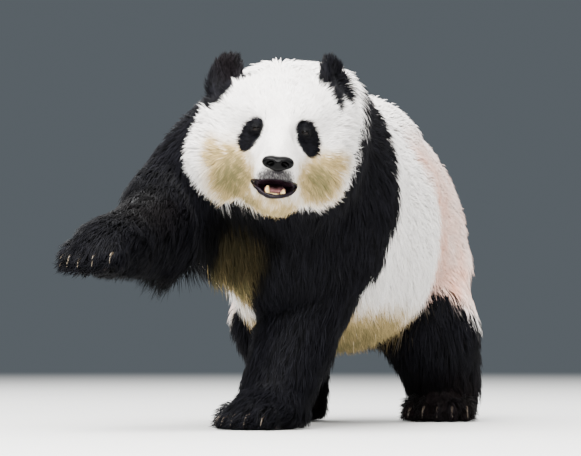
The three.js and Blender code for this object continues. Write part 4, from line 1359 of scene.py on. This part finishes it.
def tuft_marks(tufts, s):
    """The markings of each tuft, read where it shows. Most tufts are wholly white or wholly black."""
    roots = tufts["root"]
    n = len(roots)
    visible = roots + tufts["lie"] * (0.6 * tufts["length"])[:, None]
    visible = visible + tufts["normal"] * (0.7 * tufts["rise"])[:, None]
    visible[:, 2] -= 0.4 * tufts["droop"]
    marks = markings(visible.astype(np.float32))
    black, stain, grey = marks["black"], marks["stain"], marks["grey"]
    plain = random.random(n) < (0.8 - 0.35 * s.share["head"]) * (1 - marks["dim"])
    one_colour = step_to(0.35, 0.65, black + random.normal(0, 1.5, n) * black * (1 - black))
    marks["black"] = np.where(plain, one_colour, black)
    marks["stain"] = np.clip(stain * (1 + 0.22 * ripple(roots, 13, 15) + random.normal(0, 0.13, n)), 0, 1)
    marks["grey"] = np.where(random.random(n) < grey, random.uniform(0.86, 1, n), 0.5 * grey)
    marks["shade"] = np.clip(0.5 + 0.25 * ripple(roots, 14, 14) + random.normal(0, 0.22, n), 0, 1)
    return marks


def regions_of(roots, s):
    """The name of the part of the body that each tuft belongs to."""
    near = s.near
    region = np.full(len(roots), "torso", dtype=object)
    region[roots[:, 1] < 110] = "shoulders"
    region[near["head"] < near["trunk"]] = "head"
    region[s.share["ear"] > 0.5] = "ears"
    region[s.share["tail"] > 0.5] = "tail"
    limb_near = np.stack([np.minimum(s.legs[name], s.paws[name]) for name in LIMBS])
    for i, name in enumerate(LIMBS):
        region[(limb_near[i] < np.minimum(near["trunk"], near["head"])) & (limb_near.argmin(0) == i)] = name
    return region


def make_coat(skin):
    roots, normals = root_samples(*skin)
    s = survey(roots)
    under = step_to(0.2, -0.6, normals[:, 2])
    elbow = hump(np.linalg.norm(roots - np.float32(ELBOW["at"]), axis=1), 0, ELBOW["spread"])
    lie = combed(roots, normals, s, elbow * under)
    length, rise, droop, width = grown(roots, normals, s, under, elbow)
    fit = over_floor(roots, normals, lie, length, rise, droop)
    length, rise, droop = length * fit, rise * fit, droop * fit
    length *= out_of_mouth(roots, lie, length, s)
    tufts = {"root": roots, "normal": normals, "lie": lie}
    tufts |= {"length": length, "width": width, "rise": rise, "droop": droop}
    marks = tuft_marks(tufts, s)

    region = regions_of(roots, s)
    for name in ["head", "ears", "shoulders", "torso", "tail", *LIMBS]:
        members = np.flatnonzero(region == name)
        parts = math.ceil(len(members) / MOST_TUFTS)
        axis = 0 if name == "head" else 1
        members = members[np.argsort(roots[members, axis], kind="stable")]
        for i, part in enumerate(np.array_split(members, parts)):
            make_coat_piece(
                f"coat_{name}" + (f"_{i + 1}" if parts > 1 else ""),
                name,
                {key: value[part] for key, value in tufts.items()},
                {key: value[part] for key, value in marks.items()},
            )
    print("tufts", len(roots), "triangles", len(roots) * TUFT_TRIS)


make_coat(make_skin())

# ---------------------------------------------------------------- face and claws


def make_nose():
    """The leather of the nose, on a finer grid."""
    x, y, z = NOSE_AT
    step = 1.6
    grid = [lines(x - 42, step, x + 42), lines(y - 26, step, y + 28), lines(z - 36, step, z + 30)]
    points, quads = skin_of(nose_field, grid, 12)
    depth = np.minimum(nostril(LEFT)(points), nostril(RIGHT)(points))
    # Painted shade: darker deep inside the nostrils.
    dark = step_to(2.5, 0.0, depth) * step_to(y - 13, y - 9, points[:, 1])
    add_piece("nose_leather", HEAD.placed((points, [quads])), NOSE, "nose", "nose", nostril=dark)


def make_eyeball(side):
    """An eyeball with a bulging cornea, looking ahead and a little inwards."""
    name = SIDE_NAMES[side]
    points, faces = ball()
    off = np.linalg.norm(points - unit((-0.10 * side, -1, -0.02)), axis=1)
    bulge = EYE["radius"] * (1 + 0.05 * step_to(0.62, 0.2, off))
    shape = HEAD.placed((points * bulge[:, None] + EYES[side], faces))
    add_piece(f"eyeball_{name}", shape, EYEBALL, "eye", f"eye_{name}", off_axis=off)


def make_eyelids(side):
    """The rim round the opening between the lids."""
    x, y, z = EYES[side]
    radius = EYE["radius"] + 0.7
    rim = []
    for a in np.linspace(0, 2 * math.pi, 16, endpoint=False):
        dx = EYE_SLIT[0] * math.cos(a)
        dz = EYE_SLIT[1] * math.sin(a) - 1.5 - side * math.cos(a)
        rim.append((x + dx, y - math.sqrt(max(radius ** 2 - dx * dx * 0.96 - dz * dz, 1)), z + dz))
    shape = tube(rim, (1.0, 1.3, 1.0, 0.9, 1.0), sides=8, steps=64, up=(0, 1, 0.01), closed=True)
    add_piece(f"eyelids_{SIDE_NAMES[side]}", HEAD.placed(shape), LID, "black_coat")


# How wide and thick the lip is round the mouth, from the right corner over the upper lip.
LIP_WIDE = (2.6, 1.6, 1.2, 1.2, 1.6, 2.6, 3.8, 4.4, 4.8, 4.4, 3.8, 2.6)
LIP_THICK = (2.6, 1.8, 1.6, 1.6, 1.8, 2.6, 3.2, 3.8, 4.2, 3.8, 3.2, 2.6)


def make_lips():
    """The wrinkled black rim of the mouth, set into the face and pushed out a little along the lower lip."""
    ring = LIP_RING[::2]
    lower = step_to(-92, -104, ring[:, 1])[:, None]
    outward = unit((ring - (MOUTH_AT[0], MOUTH_AT[2]))[:, [0, 0, 1]] * (1, 0, 1))
    rim = face_points(ring) + np.float32((0, 5.0, 0)) - lower * np.float32((0, 2.0, 0))
    rim = rim + lower * 1.6 * outward
    points, faces = tube(rim, LIP_WIDE, LIP_THICK, sides=12, steps=140, up=(0, 1, 0.01), closed=True)
    points = points + 0.5 * ripple(points.astype(np.float32), 9, 21)[:, None]
    add_piece("lip_rim", HEAD.placed((points, faces)), LIP, "lip", "lips")


def make_tongue():
    """A flat egg with a groove along its top, arched over the lower jaw."""
    points, faces = ball(36, 48)
    points = points * (22, 42, 10)
    points[:, 2] -= 2.2 * hump(points[:, 0], 0, 4) * (points[:, 2] > 0)
    points[:, 2] += 2.5 * np.cos(points[:, 1] / 20) - 2
    points += np.array((MOUTH_AT[0], MOUTH_AT[1] + 32, MOUTH_AT[2] - 2))
    add_piece("tongue_flesh", HEAD.placed((points, faces)), TONGUE, "tongue", "tongue")


def tooth(stops, middle, *widths, **settings):
    """A tooth up through some stops, counted from the middle of the mouth."""
    stops = [(x + middle, y, z + MOUTH_AT[2]) for x, y, z in stops]
    return HEAD.placed(tube(stops, *widths, up=(0, 1, 0), **settings))


CANINE_TOPS = {LEFT: 0, RIGHT: 5}  # over the middle of the mouth


def make_canine(side):
    name = SIDE_NAMES[side]
    top = CANINE_TOPS[side]
    stops = [(14, -157, -15), (15, -163, -9), (15.6, -166, top - 6), (15.6, -166.5, top)]
    stops = [(side * x, y, z) for x, y, z in stops]
    shape = tooth(stops, MOUTH_AT[0] + 1.5, (5.0, 5.4, 4.9, 3.6, 1.8), sides=14, steps=16)
    add_piece(f"canine_tooth_{name}", shape, TOOTH, "tooth", f"canine_{name}")


def make_incisors():
    """Six small worn teeth in an arc between the canines."""
    shapes = []
    for x in (-7.5, -4.5, -1.5, 1.5, 4.5, 7.5):
        stops = [(x, y + 0.03 * x * x, z) for y, z in ((-159, -15), (-162, -11), (-163, -8.5))]
        shapes.append(tooth(stops, MOUTH_AT[0], (1.1, 1.2, 1.0), (1.2, 1.0, 0.6), sides=10, steps=8))
    add_piece("incisors", joined(shapes), TOOTH, "tooth")


# A claw: how far it reaches and how high, its half widths and half heights, and its rings.
CLAW_STOPS = ((16, 30), (26, 30), (36, 24), (43, 9))
CLAW_WIDE = (3.2, 3.0, 2.4, 1.5, 0.4)
CLAW_TALL = (4.8, 4.6, 3.6, 2.1, 0.4)
CLAW_STEPS, CLAW_SIDES = 18, 12
CLAW_PALE = {"foreleg_right": 0.9}  # the raised claws are pale horn to their tips
# The claws of the paws on the floor keep their dark root colour to the tips: painted shade.
CLAW_SHADED = 0.12


def make_claws(name, plan):
    hind = plan["paw"]["hind"]
    kind = ("hind_foot_" if hind else "forepaw_") + name.rsplit("_", 1)[1]
    along = np.append(np.repeat(np.linspace(0, 1, CLAW_STEPS), CLAW_SIDES), (0, 1))
    for i in TOES:
        yaw = math.radians(i * 7)
        across, front = math.sin(yaw), math.cos(yaw)
        stops = [(i * TOE_STEP + across * far, toe_front(hind, i) - front * far, z) for far, z in CLAW_STOPS]
        shape = tube(stops, CLAW_WIDE, CLAW_TALL, sides=CLAW_SIDES, steps=CLAW_STEPS, up=(0, 0.3, 1))
        add_piece(
            f"claw_horn_{kind}_{i + 3}",
            PAWS[name].placed(shape),
            CLAW,
            "claw",
            f"claw_{kind}_{i + 3}",
            along=CLAW_PALE.get(name, CLAW_SHADED) * along,
        )


make_nose()
for eye_side in EARS:
    make_eyeball(eye_side)
    make_eyelids(eye_side)
make_lips()
make_tongue()
for tooth_side in CANINE_TOPS:
    make_canine(tooth_side)
make_incisors()
for limb_name, limb_plan in LIMBS.items():
    make_claws(limb_name, limb_plan)

# ---------------------------------------------------------------- studio: metres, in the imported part's frame

BACKDROP = (0.105, 0.122, 0.137)
DOME = (3.2, 3.2, 3.18)
FLOOR_HALF = 60
FLOOR_FADE = (1.8, 8.5)  # from where and to where the floor turns into the backdrop
SKY_FADE = (0.10, 0.75)  # heights between which the backdrop turns into the bright dome
LIGHTS = {  # where a light stands, where it points, its size across, its power and its colour
    "top": ((-0.6, -2.4, 4.4), (0, 0, 0.4), 3.6, 600, (1, 0.985, 0.965)),
    "front": ((0.9, -4.7, 3.3), (0, 0, 0.45), 3.0, 785, (1, 0.995, 0.985)),
    "back": ((-2.6, 4.0, 3.0), (0, 0.1, 0.4), 2.4, 90, (0.96, 0.98, 1)),
}


def make_floor():
    """A pale floor that fades into the backdrop's colour far from the panda, so that no horizon shows."""
    corners = [(x * FLOOR_HALF, y * FLOOR_HALF, 0) for x, y in ((-1, -1), (1, -1), (1, 1), (-1, 1))]
    mesh = bpy.data.meshes.new("floor")
    mesh.from_pydata(corners, [], [(0, 1, 2, 3)])
    w = new_material("floor")
    stone = w.mix(w.noise(3, 3), (0.60, 0.60, 0.59), (0.64, 0.64, 0.63))
    mesh.materials.append(w.surface(colour=stone, roughness=0.8))
    far = w.node("VectorMath", {0: w.place()}, "Value", operation="LENGTH")
    share = w.span(far, *FLOOR_FADE, kind="SMOOTHSTEP")
    near = w.tree.nodes["Principled BSDF"].outputs[0]
    glow = w.node("Emission", {"Color": BACKDROP, "Strength": 1.0})
    surface = w.tree.nodes["Material Output"].inputs["Surface"]
    w.put(surface, w.node("MixShader", {0: share, 1: near, 2: glow}))
    floor = add_object("floor", mesh)


def make_light(name, at, aim, size, power, colour):
    data = bpy.data.lights.new(name, "AREA")
    data.shape = "DISK"
    data.size = size
    data.energy = power
    data.color = colour
    light = add_object(name, data)
    light.location = at
    light.rotation_euler = (Vector(aim) - Vector(at)).to_track_quat("-Z", "Y").to_euler()


def make_world():
    """A soft dome: the backdrop's colour all round, and bright overhead."""
    world = bpy.data.worlds.new("studio")
    bpy.context.scene.world = world
    w = Wires(world)
    height = w.node("SeparateXYZ", {0: w.place("Generated")}, "Z")
    sky = w.tree.nodes["Background"]
    w.put(sky.inputs["Color"], w.mix(w.span(height, *SKY_FADE, kind="SMOOTHSTEP"), BACKDROP, DOME))
    w.put(sky.inputs["Strength"], 1.0)


make_floor()
make_world()
for light_name, light in LIGHTS.items():
    make_light(light_name, *light)
